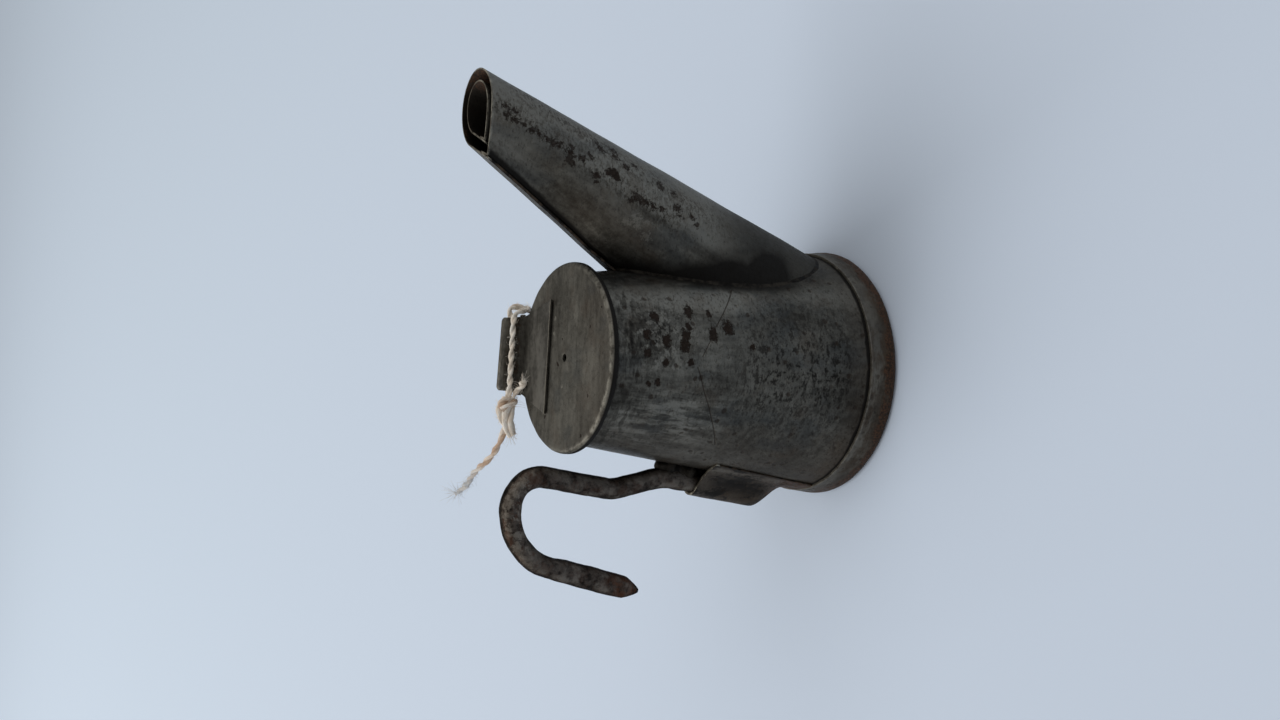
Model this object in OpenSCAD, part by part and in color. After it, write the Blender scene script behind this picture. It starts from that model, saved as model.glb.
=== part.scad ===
// Oil wick cap lamp of soldered tinplate, with a forged wire hook and a hinged lid.
// The font's axis is Z and its base rests on z = 0. The spout points to +X,
// the hook to -X, and the lid's hinge is on the +Y side.

/* [Font] */
// Height of the font's top edge above the base
font_h = 59; // [50:1:70]
// Outside diameter of the font sheet, carried down to the base plane
font_base_d = 49.2; // [45:0.2:56]
// Outside diameter of the font sheet at its top edge
font_top_d = 31.8; // [28:0.2:34]
// Thickness of the font's sheet
font_sheet = 0.5; // [0.4:0.05:0.8]
// Width of the font's lap seam
font_lap = 4.5; // [3:0.5:7]

/* [Base cup] */
// Height of the cup's wall round the font
band_h = 6; // [4:0.5:9]
// Thickness of the cup's sheet
cup_sheet = 0.5; // [0.4:0.05:0.8]
// Radius of the cup's lower corner
cup_corner = 0.9; // [0.5:0.1:1.4]

/* [Spout] */
// Distance of the mouth's centre from the font's axis
mouth_x = 44.4; // [40:0.2:52]
// Height of the outer spout's mouth
mouth_z = 80.6; // [76:0.2:90]
// Radius of the outer spout at the mouth
mouth_r = 6.4; // [5.5:0.1:7.5]
// Half angle of the outer spout's cone
spout_taper = 6.4; // [5.5:0.1:7]
// Height at which the spout's underside meets the font, above the base cup
spout_land = 0.2; // [0.1:0.1:3]
// Thickness of the spouts' sheet
spout_sheet = 0.45; // [0.35:0.05:0.7]
// Half angle over which the rolled sheet is drawn to a point at its seam
pinch = 53; // [30:1:56]
// Turn of the seam from the spout's upper side at the mouth
seam_turn = 38; // [20:1:50]

/* [Wick tube] */
// Radius of the wick tube at the mouth
wick_r = 4.15; // [3.7:0.05:4.4]
// Half angle of the wick tube's cone
wick_taper = 4.6; // [3.8:0.1:5.2]
// How far the wick tube's rim lies below the outer mouth
wick_drop = 0.3; // [0:0.1:3]
// Diameter of the hole that lets the wick out of the font
wick_hole_d = 12; // [8:0.5:13]
// Diameter of the hole that lets spilled oil back into the font
drip_hole_d = 2.5; // [1.5:0.1:3]

/* [Hook] */
// Diameter of the hook's iron rod
rod_d = 4.1; // [3:0.1:5]
// Height of the top of the hook's bend, on the rod's centre line
hook_top_z = 69.1; // [64:0.1:80]
// Height of the hook's tip
hook_tip_z = 40.8; // [34:0.1:46]
// Distance of the hook's tip from the font's axis
hook_tip_x = 44.2; // [42:0.1:50]
// Lean of the hook's free leg from upright, in degrees
hook_leg_lean = 13.9; // [8:0.1:18]
// Bend radius of the hook on the font's side
hook_bend_near = 5.9; // [5:0.1:7]
// Bend radius of the hook on the tip's side
hook_bend_far = 11.2; // [8:0.1:12]
// Length of the tapered tip
tip_len = 3; // [2:0.1:5]

/* [Hook sleeve] */
// Height of the sleeve's open top
sleeve_top = 30.4; // [26:0.2:34]
// Height of the rod's lower end inside the sleeve
rod_foot_z = 16; // [12:0.2:19]
// Half width of the sleeve, out to its soldered edges
sleeve_half_w = 8; // [6.5:0.1:9]
// Thickness of the sleeve's sheet
sleeve_sheet = 0.5; // [0.4:0.05:0.7]
// Height above the base at which the pocket has closed on the font
pocket_foot = 9; // [8:0.1:11]

/* [Lid] */
// Outside diameter of the lid
lid_d = 36; // [35:0.2:42]
// Thickness of the lid's sheet
lid_sheet = 0.5; // [0.4:0.05:0.8]
// Depth of the lid's turned-down rim
lid_rim = 1.4; // [1:0.1:2]
// Gap between the closed lid and the font's edge
lid_gap = 0.3; // [0.2:0.05:0.5]
// Diameter of the vent hole
vent_d = 1.5; // [1:0.1:3]
// Radial clearance between the lid's collar and the font
collar_clear = 0.4; // [0.3:0.05:0.8]
// Depth of the lid's collar
collar_h = 4; // [2:0.5:6]

/* [Hinge] */
// Diameter of the hinge pin
pin_d = 1.2; // [1:0.1:1.6]
// Radial clearance of the pin in its knuckles
pin_clear = 0.05; // [0.03:0.01:0.08]
// Thickness of the hinge leaves
leaf_t = 0.45; // [0.35:0.05:0.6]
// Gap between the lid's rim and the knuckles
rim_gap = 0.5; // [0.4:0.1:1]
// Width of the lid leaf at its front edge
leaf_front_w = 21.8; // [18:0.2:25]
// Distance of the lid leaf's front edge from the lid's centre
leaf_front_y = 5.8; // [4:0.1:9]
// Width of the thumb tab and of the whole hinge
tab_w = 14.4; // [12:0.2:17]
// Height of the thumb tab above the leaf
tab_h = 4.1; // [3.8:0.1:6]
// Diameter of the tab's rolled edge
roll_d = 1.8; // [1.4:0.1:2.2]
// Width of the lid's middle knuckle
mid_knuckle_w = 6.6; // [5:0.1:8]
// Gap between neighbouring knuckles
knuckle_gap = 0.25; // [0.15:0.05:0.4]
// How far the pin stands out at each end
pin_out = 0.8; // [0.4:0.1:1.5]
// Height above the base of the strap's lower end on the font
strap_foot_z = 41; // [36:0.5:46]
// Width of the strap's lower end
strap_foot_w = 9; // [7:0.5:12]

/* [String] */
// Thickness of the string
string_d = 1.25; // [0.8:0.05:1.4]

/* [Hidden] */
$fn = 64;

tin = [0.33, 0.34, 0.33];
dark_tin = [0.25, 0.27, 0.27];
iron = [0.26, 0.22, 0.20];
solder_grey = [0.42, 0.43, 0.42];
cotton = [0.86, 0.80, 0.68];

// More than the part reaches, for cutting bodies
far = font_base_d + mouth_x;
// Overrun of a cut past the face that it goes through
over = 1;

// Font and lid
function font_r(z) = (font_base_d - (font_base_d - font_top_d) * z / font_h) / 2;
wall_lean = atan((font_base_d - font_top_d) / 2 / font_h);
lid_under = font_h + lid_gap;
lid_top = lid_under + lid_sheet;
lid_r = lid_d / 2;
collar_r = font_r(font_h) - font_sheet - collar_clear;

// Hinge
knuckle_r = pin_d / 2 + pin_clear + leaf_t;
leaf_top = lid_top + leaf_t;
pin_z = leaf_top - knuckle_r;
pin_y = lid_r + rim_gap + knuckle_r;
web_back = pin_y - sqrt(pow(knuckle_r + knuckle_gap, 2) - pow(lid_top - pin_z, 2));
web_front = web_back - leaf_t;
roll_r = roll_d / 2;
roll_z = leaf_top + tab_h - roll_r;
roll_y = (web_front + web_back) / 2;

// Spout: its underside is the line from the landing point that touches the mouth's circle
land = [font_r(band_h + spout_land), band_h + spout_land];
land_run = [mouth_x - land[0], mouth_z - land[1]];
spout_rise = atan2(land_run[1], land_run[0]) - asin(mouth_r * cos(spout_taper) / norm(land_run)) - spout_taper;
spout_dir = [cos(spout_rise), 0, sin(spout_rise)];
spout_up = [-sin(spout_rise), 0, cos(spout_rise)];
spout_side = [0, -1, 0];
// The seam's sharp edge turns upward and fades with the distance s from the mouth
seam_end_turn = 9;
seam_fade = 48;
pinch_fade = 45;
least_pinch = 9;
function seam_at(s) = seam_turn + (seam_end_turn - seam_turn) * min(max(s, 0) / seam_fade, 1);
function pinch_at(s) = max(least_pinch, pinch * (1 - max(s, 0) / pinch_fade));
// Distance from the centre line to a rolled sheet drawn to a point at the seam
function teardrop(r, s, turn) = abs(turn) < pinch_at(s) ? r / cos(pinch_at(s) - abs(turn)) : r;
// The sheet's free edge laps over the seam and fades into the round
lap_fade = 40;
function lap(turn) = turn < 0 && turn > -lap_fade ? spout_sheet * (1 + turn / lap_fade) : 0;
function turns_by(step) = concat([for (a = [-180:step:-12]) a], [-5, -0.02, 0.02, 5], [for (a = [12:step:172]) a]);
seam_turns = turns_by(8);
rolled_steps = [1, 0.8, 0.62, 0.48, 0.36, 0.26, 0.18, 0.11, 0.05, 0];
function rolled_point(r0, taper, s, turn, lapped) =
    let (d = teardrop(r0 + s * tan(taper), s, turn) + (lapped ? lap(turn) : 0), a = seam_at(s) + turn)
    [mouth_x, 0, mouth_z] - s * spout_dir + d * (cos(a) * spout_up + sin(a) * spout_side);
// Where f falls through nothing between two distances, found by halving
function crossing(f, near, past, steps = 26) =
    let (mid = (near + past) / 2)
    steps == 0 ? mid : f(mid) > 0 ? crossing(f, mid, past, steps - 1) : crossing(f, near, mid, steps - 1);
function rolled_foot(r0, taper, turn, lapped) = crossing(
    function(s) let (p = rolled_point(r0, taper, s, turn, lapped)) norm([p[0], p[1]]) - font_r(p[2]), mouth_x / 4, far);
function rolled_rim(r0, taper, turn, lapped, z) = crossing(
    function(s) rolled_point(r0, taper, s, turn, lapped)[2] - z, -mouth_x / 2, mouth_x / 2);
// Rows of points from the font up to the rim
function rolled_grid(r0, taper, lapped, z) =
    let (ends = [for (turn = seam_turns) [rolled_rim(r0, taper, turn, lapped, z), rolled_foot(r0, taper, turn, lapped)]])
    [for (t = rolled_steps) [for (i = [0:len(seam_turns) - 1])
        rolled_point(r0, taper, ends[i][0] + (ends[i][1] - ends[i][0]) * t, seam_turns[i], lapped)]];

function unit(v) = v / norm(v);
solder_w = 1.3;
// The bead's flats lie this far off the round font and spout, so that none cuts into them
bead_off_font = 0.03;
bead_off_spout = 0.04;
// Distance from the mouth to the middle of the wick hole, on the spout's centre line
wick_hole_s = crossing(function(s) mouth_x - s * spout_dir[0] - font_r(mouth_z - s * spout_dir[2]), mouth_x / 4, far);

// Hook: corners of the rod's centre line as [distance to -X, z] with a bend radius at each
rod_r = rod_d / 2;
pocket_clear = 0.05;
rod_seat = rod_r + 0.8;
function rod_x(z) = font_r(z) + rod_seat;
neck_z = 36.6;
jog_z = 48;
jog_out = 7.1;
jog_x = font_r(jog_z) + jog_out;
near_leg_lean = 8.6;
near_leg_x = jog_x - (hook_top_z - jog_z) * tan(near_leg_lean);
hook_bends = [[rod_x(rod_foot_z), rod_foot_z, 0],
              [rod_x(neck_z), neck_z, 9],
              [jog_x, jog_z, 10],
              [near_leg_x, hook_top_z, hook_bend_near],
              [hook_tip_x - (hook_top_z - hook_tip_z) * tan(hook_leg_lean), hook_top_z, hook_bend_far],
              [hook_tip_x - tip_len * sin(hook_leg_lean), hook_tip_z + tip_len * cos(hook_leg_lean), 0]];
tip_end_r = 0.45;
rod_sides = 20;
bend_step = 9;
// The bent stretch is a hair thinner than the straight leg that it runs into
bent_r = rod_r * 0.995;
function bend_at(i) = [hook_bends[i][0], hook_bends[i][1]];
function bend_dir(i) = unit(bend_at(i + 1) - bend_at(i));
function bend_turn(i) = acos(bend_dir(i - 1) * bend_dir(i));
// Points of the bend at corner i, each [distance to -X, z, slope of the rod]
function bend_points(i) =
    let (d = bend_dir(i - 1), e = bend_dir(i), r = hook_bends[i][2], turn = bend_turn(i),
         side = d[0] * e[1] - d[1] * e[0] > 0 ? 1 : -1, first = bend_at(i) - d * r * tan(turn / 2),
         centre = first + side * r * [-d[1], d[0]], slope = atan2(d[1], d[0]), n = ceil(turn / bend_step))
    [for (j = [0:n]) let (a = slope + side * turn * j / n) [each centre + side * r * [sin(a), -cos(a)], a]];
last_bend = len(hook_bends) - 2;
rod_route = concat([[each bend_at(0), atan2(bend_dir(0)[1], bend_dir(0)[0])]],
                   [for (i = [1:last_bend]) each bend_points(i)]);
leg_from = [for (i = [0:1]) rod_route[len(rod_route) - 1][i]];
leg_to = bend_at(last_bend + 1);
leg_len = norm(leg_to - leg_from);
leg_slope = atan2(leg_to[1] - leg_from[1], leg_to[0] - leg_from[0]);
bent_route = concat(rod_route, [[each leg_from + over * unit(leg_to - leg_from), leg_slope]]);

// Sleeve sections: the sheet wraps the rod, then runs out to its soldered edges
wrap_turn = 60;
edge_slope = 23;
flank_steps = 5;
wrap_steps = 4;
sleeve_sink = 0.6;
function bezier(a, b, c, t) = a * pow(1 - t, 2) + b * 2 * t * (1 - t) + c * t * t;
function half_section(wall, ro, sink) =
    let (centre = wall + rod_seat,
         edge = [sleeve_half_w, sqrt(wall * wall - pow(sleeve_half_w, 2)) + sink],
         start = [ro * sin(wrap_turn), centre + ro * cos(wrap_turn)],
         kx = (start[1] + start[0] * tan(wrap_turn) - edge[1] - edge[0] * tan(edge_slope))
              / (tan(wrap_turn) - tan(edge_slope)),
         knee = [kx, edge[1] + (edge[0] - kx) * tan(edge_slope)])
    concat([for (i = [0:wrap_steps - 1]) let (a = wrap_turn * i / wrap_steps)
                [ro * sin(a), centre + ro * cos(a)]],
           [for (i = [0:flank_steps]) bezier(start, knee, edge, i / flank_steps)]);
// Flattened onto the font where the pocket closes
function crown(z) = let (k = min(1, max(0, (z - pocket_foot) / (rod_foot_z - pocket_foot)))) k * k * (3 - 2 * k);
function sleeve_half(z, ro, sink) =
    let (wall = font_r(z), full = half_section(wall, ro, sink), k = crown(z))
    [for (p = full) [p[0], k * p[1] + (1 - k) * (sqrt(wall * wall - p[0] * p[0]) + sink)]];
function sleeve_row(z, ro, sink) =
    let (half = sleeve_half(z, ro, sink), n = len(half))
    concat([for (i = [n - 1:-1:1]) [-half[i][1], -half[i][0], z]], [for (p = half) [-p[1], p[0], z]]);
sleeve_heights = concat([sleeve_top + 1.4, 25, 20], [for (i = [7:-1:0]) pocket_foot + (rod_foot_z - pocket_foot) * i / 7],
                        [7.5, band_h + 0.05]);

// Hinge strap: flat at the knuckles, and curved to the font lower down
strap_bend_z = 51;
strap_full_z = 56;
// The strap's flats lie this far off the round font
strap_off_font = 0.05;
strap_rows = 8;
strap_cols = 10;
function strap_k(z) = min(1, max(0, (z - strap_bend_z) / (pin_z - strap_bend_z)));
function strap_y(x, z, t) =
    let (k = strap_k(z), flat_y = font_r(strap_bend_z) + k * (pin_y - knuckle_r - font_r(strap_bend_z)),
         round_r = font_r(min(z, strap_bend_z)), round_y = sqrt(round_r * round_r - x * x))
    (1 - k) * round_y + k * flat_y + strap_off_font + t;
function strap_half_w(z) =
    let (k = min(1, max(0, (z - strap_foot_z) / (strap_full_z - strap_foot_z))))
    (strap_foot_w + (tab_w - strap_foot_w) * k) / 2;

// String: hand-laid route of the loop round the tab, and of the long free end
string_r = string_d / 2;
loop_front_y = web_front - string_r - 0.35;
loop_back_y = web_back + string_r + 0.1;
loop_z = roll_z - roll_r - string_r + 0.55;
loop_back_z = roll_z - roll_r - string_r - 0.1;
tab_x = tab_w / 2;
loop_route = [[-tab_x - 2.6, loop_front_y + 0.3, loop_z - 0.1], [-tab_x - 1.2, loop_front_y, loop_z],
              [-tab_x + 1, loop_front_y, loop_z], [-tab_x / 2, loop_front_y, loop_z], [0, loop_front_y, loop_z],
              [tab_x / 2, loop_front_y, loop_z], [tab_x - 0.6, loop_front_y, loop_z - 0.1],
              [tab_x + 0.9, loop_front_y - 0.2, loop_z - 0.6], [tab_x + 1.9, loop_front_y, loop_z - 1.7],
              [tab_x + 2.4, loop_front_y + 0.4, loop_z - 3.1], [tab_x + 2.5, loop_front_y + 1.3, loop_z - 4.2],
              [tab_x + 2.5, loop_front_y + 2.4, loop_z - 4.2], [tab_x + 2.3, loop_back_y + 0.9, loop_z - 3],
              [tab_x + 1.8, loop_back_y + 0.6, loop_back_z - 1], [tab_x + 0.8, loop_back_y + 0.2, loop_back_z - 0.2],
              [tab_x - 0.8, loop_back_y, loop_back_z], [tab_x / 2, loop_back_y, loop_back_z],
              [0, loop_back_y, loop_back_z], [-tab_x / 2, loop_back_y, loop_back_z],
              [-tab_x + 0.6, loop_back_y, loop_back_z], [-tab_x - 1, loop_back_y - 0.3, loop_back_z + 0.1],
              [-tab_x - 2.6, loop_back_y - 1.1, loop_back_z + 0.2]];
knot_at = [-tab_x - 3.4, loop_front_y + 0.5, loop_z - 0.2];
stub_route = [knot_at + [0.6, -0.5, -0.2], knot_at + [2.2, -1.4, -0.9], knot_at + [3.8, -1.6, -1.25],
              knot_at + [5.2, -1.7, -1.35], knot_at + [6.6, -1.9, -1.35]];
tail_route = [[-12, 17.8, 62.3], [-13.2, 18.2, 62.3], [-14.6, 18.6, 62.4], [-16, 19.2, 62.3], [-17.4, 20.1, 62.1],
              [-18.8, 21.2, 61.8], [-20.2, 22.7, 61.6], [-21.4, 24.4, 61.5], [-22.5, 26.3, 61.4],
              [-23.6, 28.4, 61.2], [-24.6, 30.5, 61], [-25.5, 32.6, 60.9], [-26.4, 34.7, 60.8],
              [-27.3, 36.8, 60.6], [-28.1, 38.9, 60.3], [-28.9, 41, 59.9], [-29.7, 43.2, 59.4]];

// Closed skin over rings of points, each ring as long as the next
module loft(rings) {
    n = len(rings[0]);
    m = len(rings);
    skin = [for (j = [0:m - 2]) for (i = [0:n - 1])
        let (a = j * n + i, b = j * n + (i + 1) % n, c = (j + 1) * n + (i + 1) % n, d = (j + 1) * n + i)
        each [[a, d, c], [a, c, b]]];
    polyhedron([for (ring = rings) each ring],
               concat(skin, [[for (i = [0:n - 1]) i], [for (i = [n - 1:-1:0]) (m - 1) * n + i]]));
}

// Closed sheet between an outer and an inner grid of points, round where its rows are rings
module sheet(outer, inner, round = false) {
    m = len(outer);
    n = len(outer[0]);
    cols = round ? n : n - 1;
    function at(side, j, i) = side * m * n + j * n + i % n;
    function quad(a, b, c, d) = [[a, c, b], [a, d, c]];
    skins = [for (j = [0:m - 2]) for (i = [0:cols - 1])
        each concat(quad(at(0, j, i), at(0, j, i + 1), at(0, j + 1, i + 1), at(0, j + 1, i)),
                    quad(at(1, j, i + 1), at(1, j, i), at(1, j + 1, i), at(1, j + 1, i + 1)))];
    ends = [for (i = [0:cols - 1])
        each concat(quad(at(0, 0, i + 1), at(0, 0, i), at(1, 0, i), at(1, 0, i + 1)),
                    quad(at(0, m - 1, i), at(0, m - 1, i + 1), at(1, m - 1, i + 1), at(1, m - 1, i)))];
    sides = round ? [] : [for (j = [0:m - 2])
        each concat(quad(at(0, j, 0), at(0, j + 1, 0), at(1, j + 1, 0), at(1, j, 0)),
                    quad(at(0, j + 1, n - 1), at(0, j, n - 1), at(1, j, n - 1), at(1, j + 1, n - 1)))];
    polyhedron([for (grid = [outer, inner]) for (row = grid) each row], concat(skins, ends, sides));
}

// Tube of the string's thickness along a route of points
module string_tube(route) {
    sides = 8;
    m = len(route);
    dirs = [for (i = [0:m - 1]) unit(route[min(i + 1, m - 1)] - route[max(i - 1, 0)])];
    function turned(v, d) = unit(v - (v * d) * d);
    function frames(i, v) = i == m ? [] : let (w = turned(v, dirs[i])) concat([w], frames(i + 1, w));
    across = frames(0, [0.1, 0.2, 1]);
    loft([for (i = [0:m - 1]) let (b = cross(dirs[i], across[i]))
        [for (s = [0:sides - 1]) route[i] + string_r * (cos(s * 360 / sides) * across[i] + sin(s * 360 / sides) * b)]]);
}

// The font's outer form, filled
module font_form() {
    cylinder(h = font_h, r1 = font_r(0), r2 = font_r(font_h), $fn = 128);
}

module above(z) {
    translate([-far, -far, z]) cube(2 * far);
}

// Rolled and lapped sheet from a level rim down to the font
module rolled_tube(r0, taper, rim_z) {
    sheet(rolled_grid(r0, taper, true, rim_z), rolled_grid(r0 - spout_sheet, taper, false, rim_z), round = true);
}

// Conical sheet between two heights, on the outside of the font's line by "out"
module cone_sheet(z0, z1, out, t) {
    rotate_extrude($fn = 128)
        polygon([[font_r(z0) + out, z0], [font_r(z0) + out + t, z0],
                 [font_r(z1) + out + t, z1], [font_r(z1) + out, z1]]);
}

// Rod bent round its corners, with a straight free leg and a drawn tip
module hook_form() {
    mirror([1, 0, 0]) {
        loft([for (p = bent_route) [for (i = [0:rod_sides - 1]) let (a = 360 * i / rod_sides)
            [p[0] - bent_r * cos(a) * sin(p[2]), -bent_r * sin(a), p[1] + bent_r * cos(a) * cos(p[2])]]]);
        translate([leg_from[0], 0, leg_from[1]]) rotate([0, 180 - hook_leg_lean, 0]) {
            cylinder(h = leg_len, r = rod_r);
            translate([0, 0, leg_len]) cylinder(h = tip_len, r1 = rod_r, r2 = tip_end_r);
        }
    }
}

module knuckle(x0, x1) {
    translate([x0, pin_y, pin_z]) rotate([0, 90, 0]) difference() {
        cylinder(h = x1 - x0, r = knuckle_r);
        translate([0, 0, -over]) cylinder(h = x1 - x0 + 2 * over, r = pin_d / 2 + pin_clear);
    }
}

module font_shell() {
    hole_at = [mouth_x, 0, mouth_z] - wick_hole_s * spout_dir;
    color(dark_tin) difference() {
        union() {
            cone_sheet(cup_sheet, font_h, -font_sheet, font_sheet);
            // Lap seam down the back, between the hinge and the hook
            intersection() {
                cone_sheet(band_h, font_h, -font_sheet / 2, font_sheet * 1.3);
                rotate(128) translate([0, -font_lap / 2, 0]) cube([far, font_lap, font_h]);
            }
        }
        translate(hole_at) rotate([0, 90 - spout_rise, 0])
            translate([0, 0, -wick_hole_d]) cylinder(h = 2 * wick_hole_d, d = wick_hole_d);
        translate([0, 0, band_h + drip_hole_d]) rotate([0, 90, 0]) cylinder(h = far, d = drip_hole_d);
    }
}

module base_cup() {
    corner_steps = 5;
    corner = [for (i = [0:corner_steps]) let (a = -90 + (90 - wall_lean) * i / corner_steps)
        [font_r(cup_corner) + cup_sheet - cup_corner + cup_corner * cos(a), cup_corner + cup_corner * sin(a)]];
    color(tin) rotate_extrude($fn = 128)
        polygon(concat([[0, 0]], corner,
                       [[font_r(band_h) + cup_sheet, band_h], [font_r(band_h), band_h],
                        [font_r(cup_sheet), cup_sheet], [0, cup_sheet]]));
}

module base_solder() {
    fillet = 1.2;
    inner = font_r(cup_sheet) - font_sheet;
    color(solder_grey) rotate_extrude($fn = 128)
        polygon([[inner, cup_sheet], [inner - fillet, cup_sheet],
                 [inner - fillet * 0.42, cup_sheet + fillet * 0.38], [font_r(cup_sheet + fillet) - font_sheet, cup_sheet + fillet]]);
}

module outer_spout() {
    color(tin) rolled_tube(mouth_r, spout_taper, mouth_z);
}

module wick_tube() {
    color(dark_tin) rolled_tube(wick_r, wick_taper, mouth_z - wick_drop);
}

module spout_solder() {
    function off_font(p, h) = [each [p[0], p[1]] * (font_r(h) + bead_off_font) / norm([p[0], p[1]]), h];
    outer = [for (turn = turns_by(4))
        let (s = rolled_foot(mouth_r, spout_taper, turn, true),
             joint = rolled_point(mouth_r, spout_taper, s, turn, true),
             a = seam_at(s) + turn,
             from_spout = cos(a) * spout_up + sin(a) * spout_side,
             on_spout = rolled_point(mouth_r, spout_taper, s - solder_w, turn, true) + bead_off_spout * from_spout,
             from_font = unit([joint[0], joint[1], norm([joint[0], joint[1]]) * tan(wall_lean)]),
             along_font = unit(from_spout - (from_spout * from_font) * from_font),
             root = joint + bead_off_font * from_font + 2 * bead_off_spout * along_font,
             slid = joint + solder_w * along_font,
             on_font = off_font(slid, max(slid[2], band_h + spout_land / 2)))
        [root, on_spout, root + 0.3 * (on_spout + on_font - 2 * root), on_font]];
    n = len(outer);
    function at(i, j) = 4 * (i % n) + j % 4;
    color(solder_grey) polyhedron([for (section = outer) each section],
        [for (i = [0:n - 1]) for (j = [0:3])
            each [[at(i, j), at(i + 1, j + 1), at(i, j + 1)], [at(i, j), at(i + 1, j), at(i + 1, j + 1)]]]);
}

module hook() {
    color(iron) hook_form();
}

module sleeve_form(ro, sink) {
    loft([for (z = sleeve_heights)
        concat(sleeve_row(z, ro, sink),
               [[-font_r(z) + 6, sleeve_half_w, z], [-font_r(z) + 6, -sleeve_half_w, z]])]);
}

module hook_sleeve() {
    color(tin) difference() {
        sleeve_form(rod_r + pocket_clear + sleeve_sheet, sleeve_sheet * 0.8);
        intersection() {
            sleeve_form(rod_r + pocket_clear, -sleeve_sink);
            above(pocket_foot);
        }
        font_form();
        // The open top is cut square to the rod
        translate([-rod_x(sleeve_top) - rod_r, 0, sleeve_top]) rotate([0, wall_lean, 0])
            translate([-far / 2, -far / 2, 0]) cube(far);
    }
}

module hook_solder() {
    lump_r = 2.3;
    lump_top = sleeve_top + 7;
    lump_foot = sleeve_top - 3;
    lump_len = (lump_top - lump_foot) / cos(wall_lean);
    color(solder_grey) difference() {
        translate([-font_r(lump_top) - 0.4, 0, lump_top]) {
            sphere(lump_r);
            rotate([0, 180 + wall_lean, 0]) cylinder(h = lump_len, r = lump_r);
        }
        font_form();
        hook_form();
    }
}

module body_hinge_leaf() {
    function row(z, t) = [for (i = [0:strap_cols])
        let (x = strap_half_w(z) * (2 * i / strap_cols - 1)) [x, strap_y(x, z, t), z]];
    ear_foot = pin_z - knuckle_r - knuckle_gap;
    strap_top = pin_z - 0.1;
    heights = concat([for (i = [strap_rows:-1:0]) strap_bend_z + (strap_top - strap_bend_z) * i / strap_rows],
                     [(strap_bend_z + strap_foot_z) / 2, strap_foot_z]);
    color(tin) {
        difference() {
            sheet([for (z = heights) row(z, leaf_t)], [for (z = heights) row(z, 0)]);
            translate([-mid_knuckle_w / 2 - knuckle_gap, pin_y - 3 * knuckle_r, ear_foot])
                cube([mid_knuckle_w + 2 * knuckle_gap, 6 * knuckle_r, 3 * knuckle_r]);
        }
        knuckle(-tab_w / 2, -mid_knuckle_w / 2 - knuckle_gap);
        knuckle(mid_knuckle_w / 2 + knuckle_gap, tab_w / 2);
    }
}

module hinge_pin() {
    color(iron) translate([-tab_w / 2 - pin_out, pin_y, pin_z]) rotate([0, 90, 0])
        cylinder(h = tab_w + 2 * pin_out, d = pin_d);
}

module lid_disc() {
    bevel = 0.5;
    color(tin) difference() {
        rotate_extrude($fn = 128)
            polygon([[0, lid_under], [lid_r - lid_sheet - bevel, lid_under], [lid_r - lid_sheet, lid_under - bevel],
                     [lid_r - lid_sheet, lid_top - lid_rim], [lid_r, lid_top - lid_rim],
                     [lid_r, lid_top - bevel - lid_sheet / 2], [lid_r - bevel - lid_sheet / 2, lid_top], [0, lid_top]]);
        translate([0, 0, lid_under - over]) cylinder(h = lid_sheet + 2 * over, d = vent_d);
    }
}

module lid_collar() {
    color(dark_tin) translate([0, 0, lid_under - collar_h]) difference() {
        cylinder(h = collar_h, r = collar_r, $fn = 128);
        translate([0, 0, -over]) cylinder(h = collar_h + 2 * over, r = collar_r - lid_sheet, $fn = 128);
    }
}

module lid_hinge_leaf() {
    window_h = roll_z - roll_r - leaf_top - 0.3;
    color(tin) difference() {
        union() {
            // Plate, widest at the front and as wide as the tab behind
            translate([0, 0, lid_top]) linear_extrude(leaf_t)
                polygon([[-leaf_front_w / 2, leaf_front_y], [leaf_front_w / 2, leaf_front_y],
                         [tab_w / 2 + 0.6, web_front - 1], [tab_w / 2, web_back], [-tab_w / 2, web_back],
                         [-tab_w / 2 - 0.6, web_front - 1]]);
            // Thumb tab and its rolled edge
            translate([-tab_w / 2, web_front, lid_top]) cube([tab_w, leaf_t, roll_z - lid_top]);
            translate([-tab_w / 2, roll_y, roll_z]) rotate([0, 90, 0]) cylinder(h = tab_w, r = roll_r);
            // Middle knuckle
            translate([-mid_knuckle_w / 2, web_front, lid_top]) cube([mid_knuckle_w, pin_y - web_front, leaf_t]);
            knuckle(-mid_knuckle_w / 2, mid_knuckle_w / 2);
        }
        translate([-tab_w, roll_y, roll_z]) rotate([0, 90, 0]) cylinder(h = 2 * tab_w, r = roll_r - leaf_t);
        // Window left in the tab where the knuckle's tongue was cut out
        translate([-mid_knuckle_w / 2 - knuckle_gap, web_front - over, leaf_top])
            cube([mid_knuckle_w + 2 * knuckle_gap, leaf_t + 2 * over, window_h]);
        translate([-tab_w, pin_y, pin_z]) rotate([0, 90, 0]) cylinder(h = 2 * tab_w, r = pin_d / 2 + pin_clear);
    }
}

module tie_string() {
    color(cotton) {
        string_tube(loop_route);
        string_tube(stub_route);
        hull() {
            translate(knot_at + [-0.9, 0.1, 0]) sphere(1, $fn = 16);
            translate(knot_at + [0.5, 0, 0.1]) sphere(1.2, $fn = 16);
        }
    }
}

module string_tail() {
    color(cotton) string_tube(tail_route);
}

font_shell();
base_cup();
base_solder();
outer_spout();
wick_tube();
spout_solder();
hook();
hook_sleeve();
hook_solder();
body_hinge_leaf();
hinge_pin();
lid_disc();
lid_collar();
lid_hinge_leaf();
tie_string();
string_tail();
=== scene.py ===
import math
import random

import bpy
from mathutils import Matrix, Vector, noise


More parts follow.
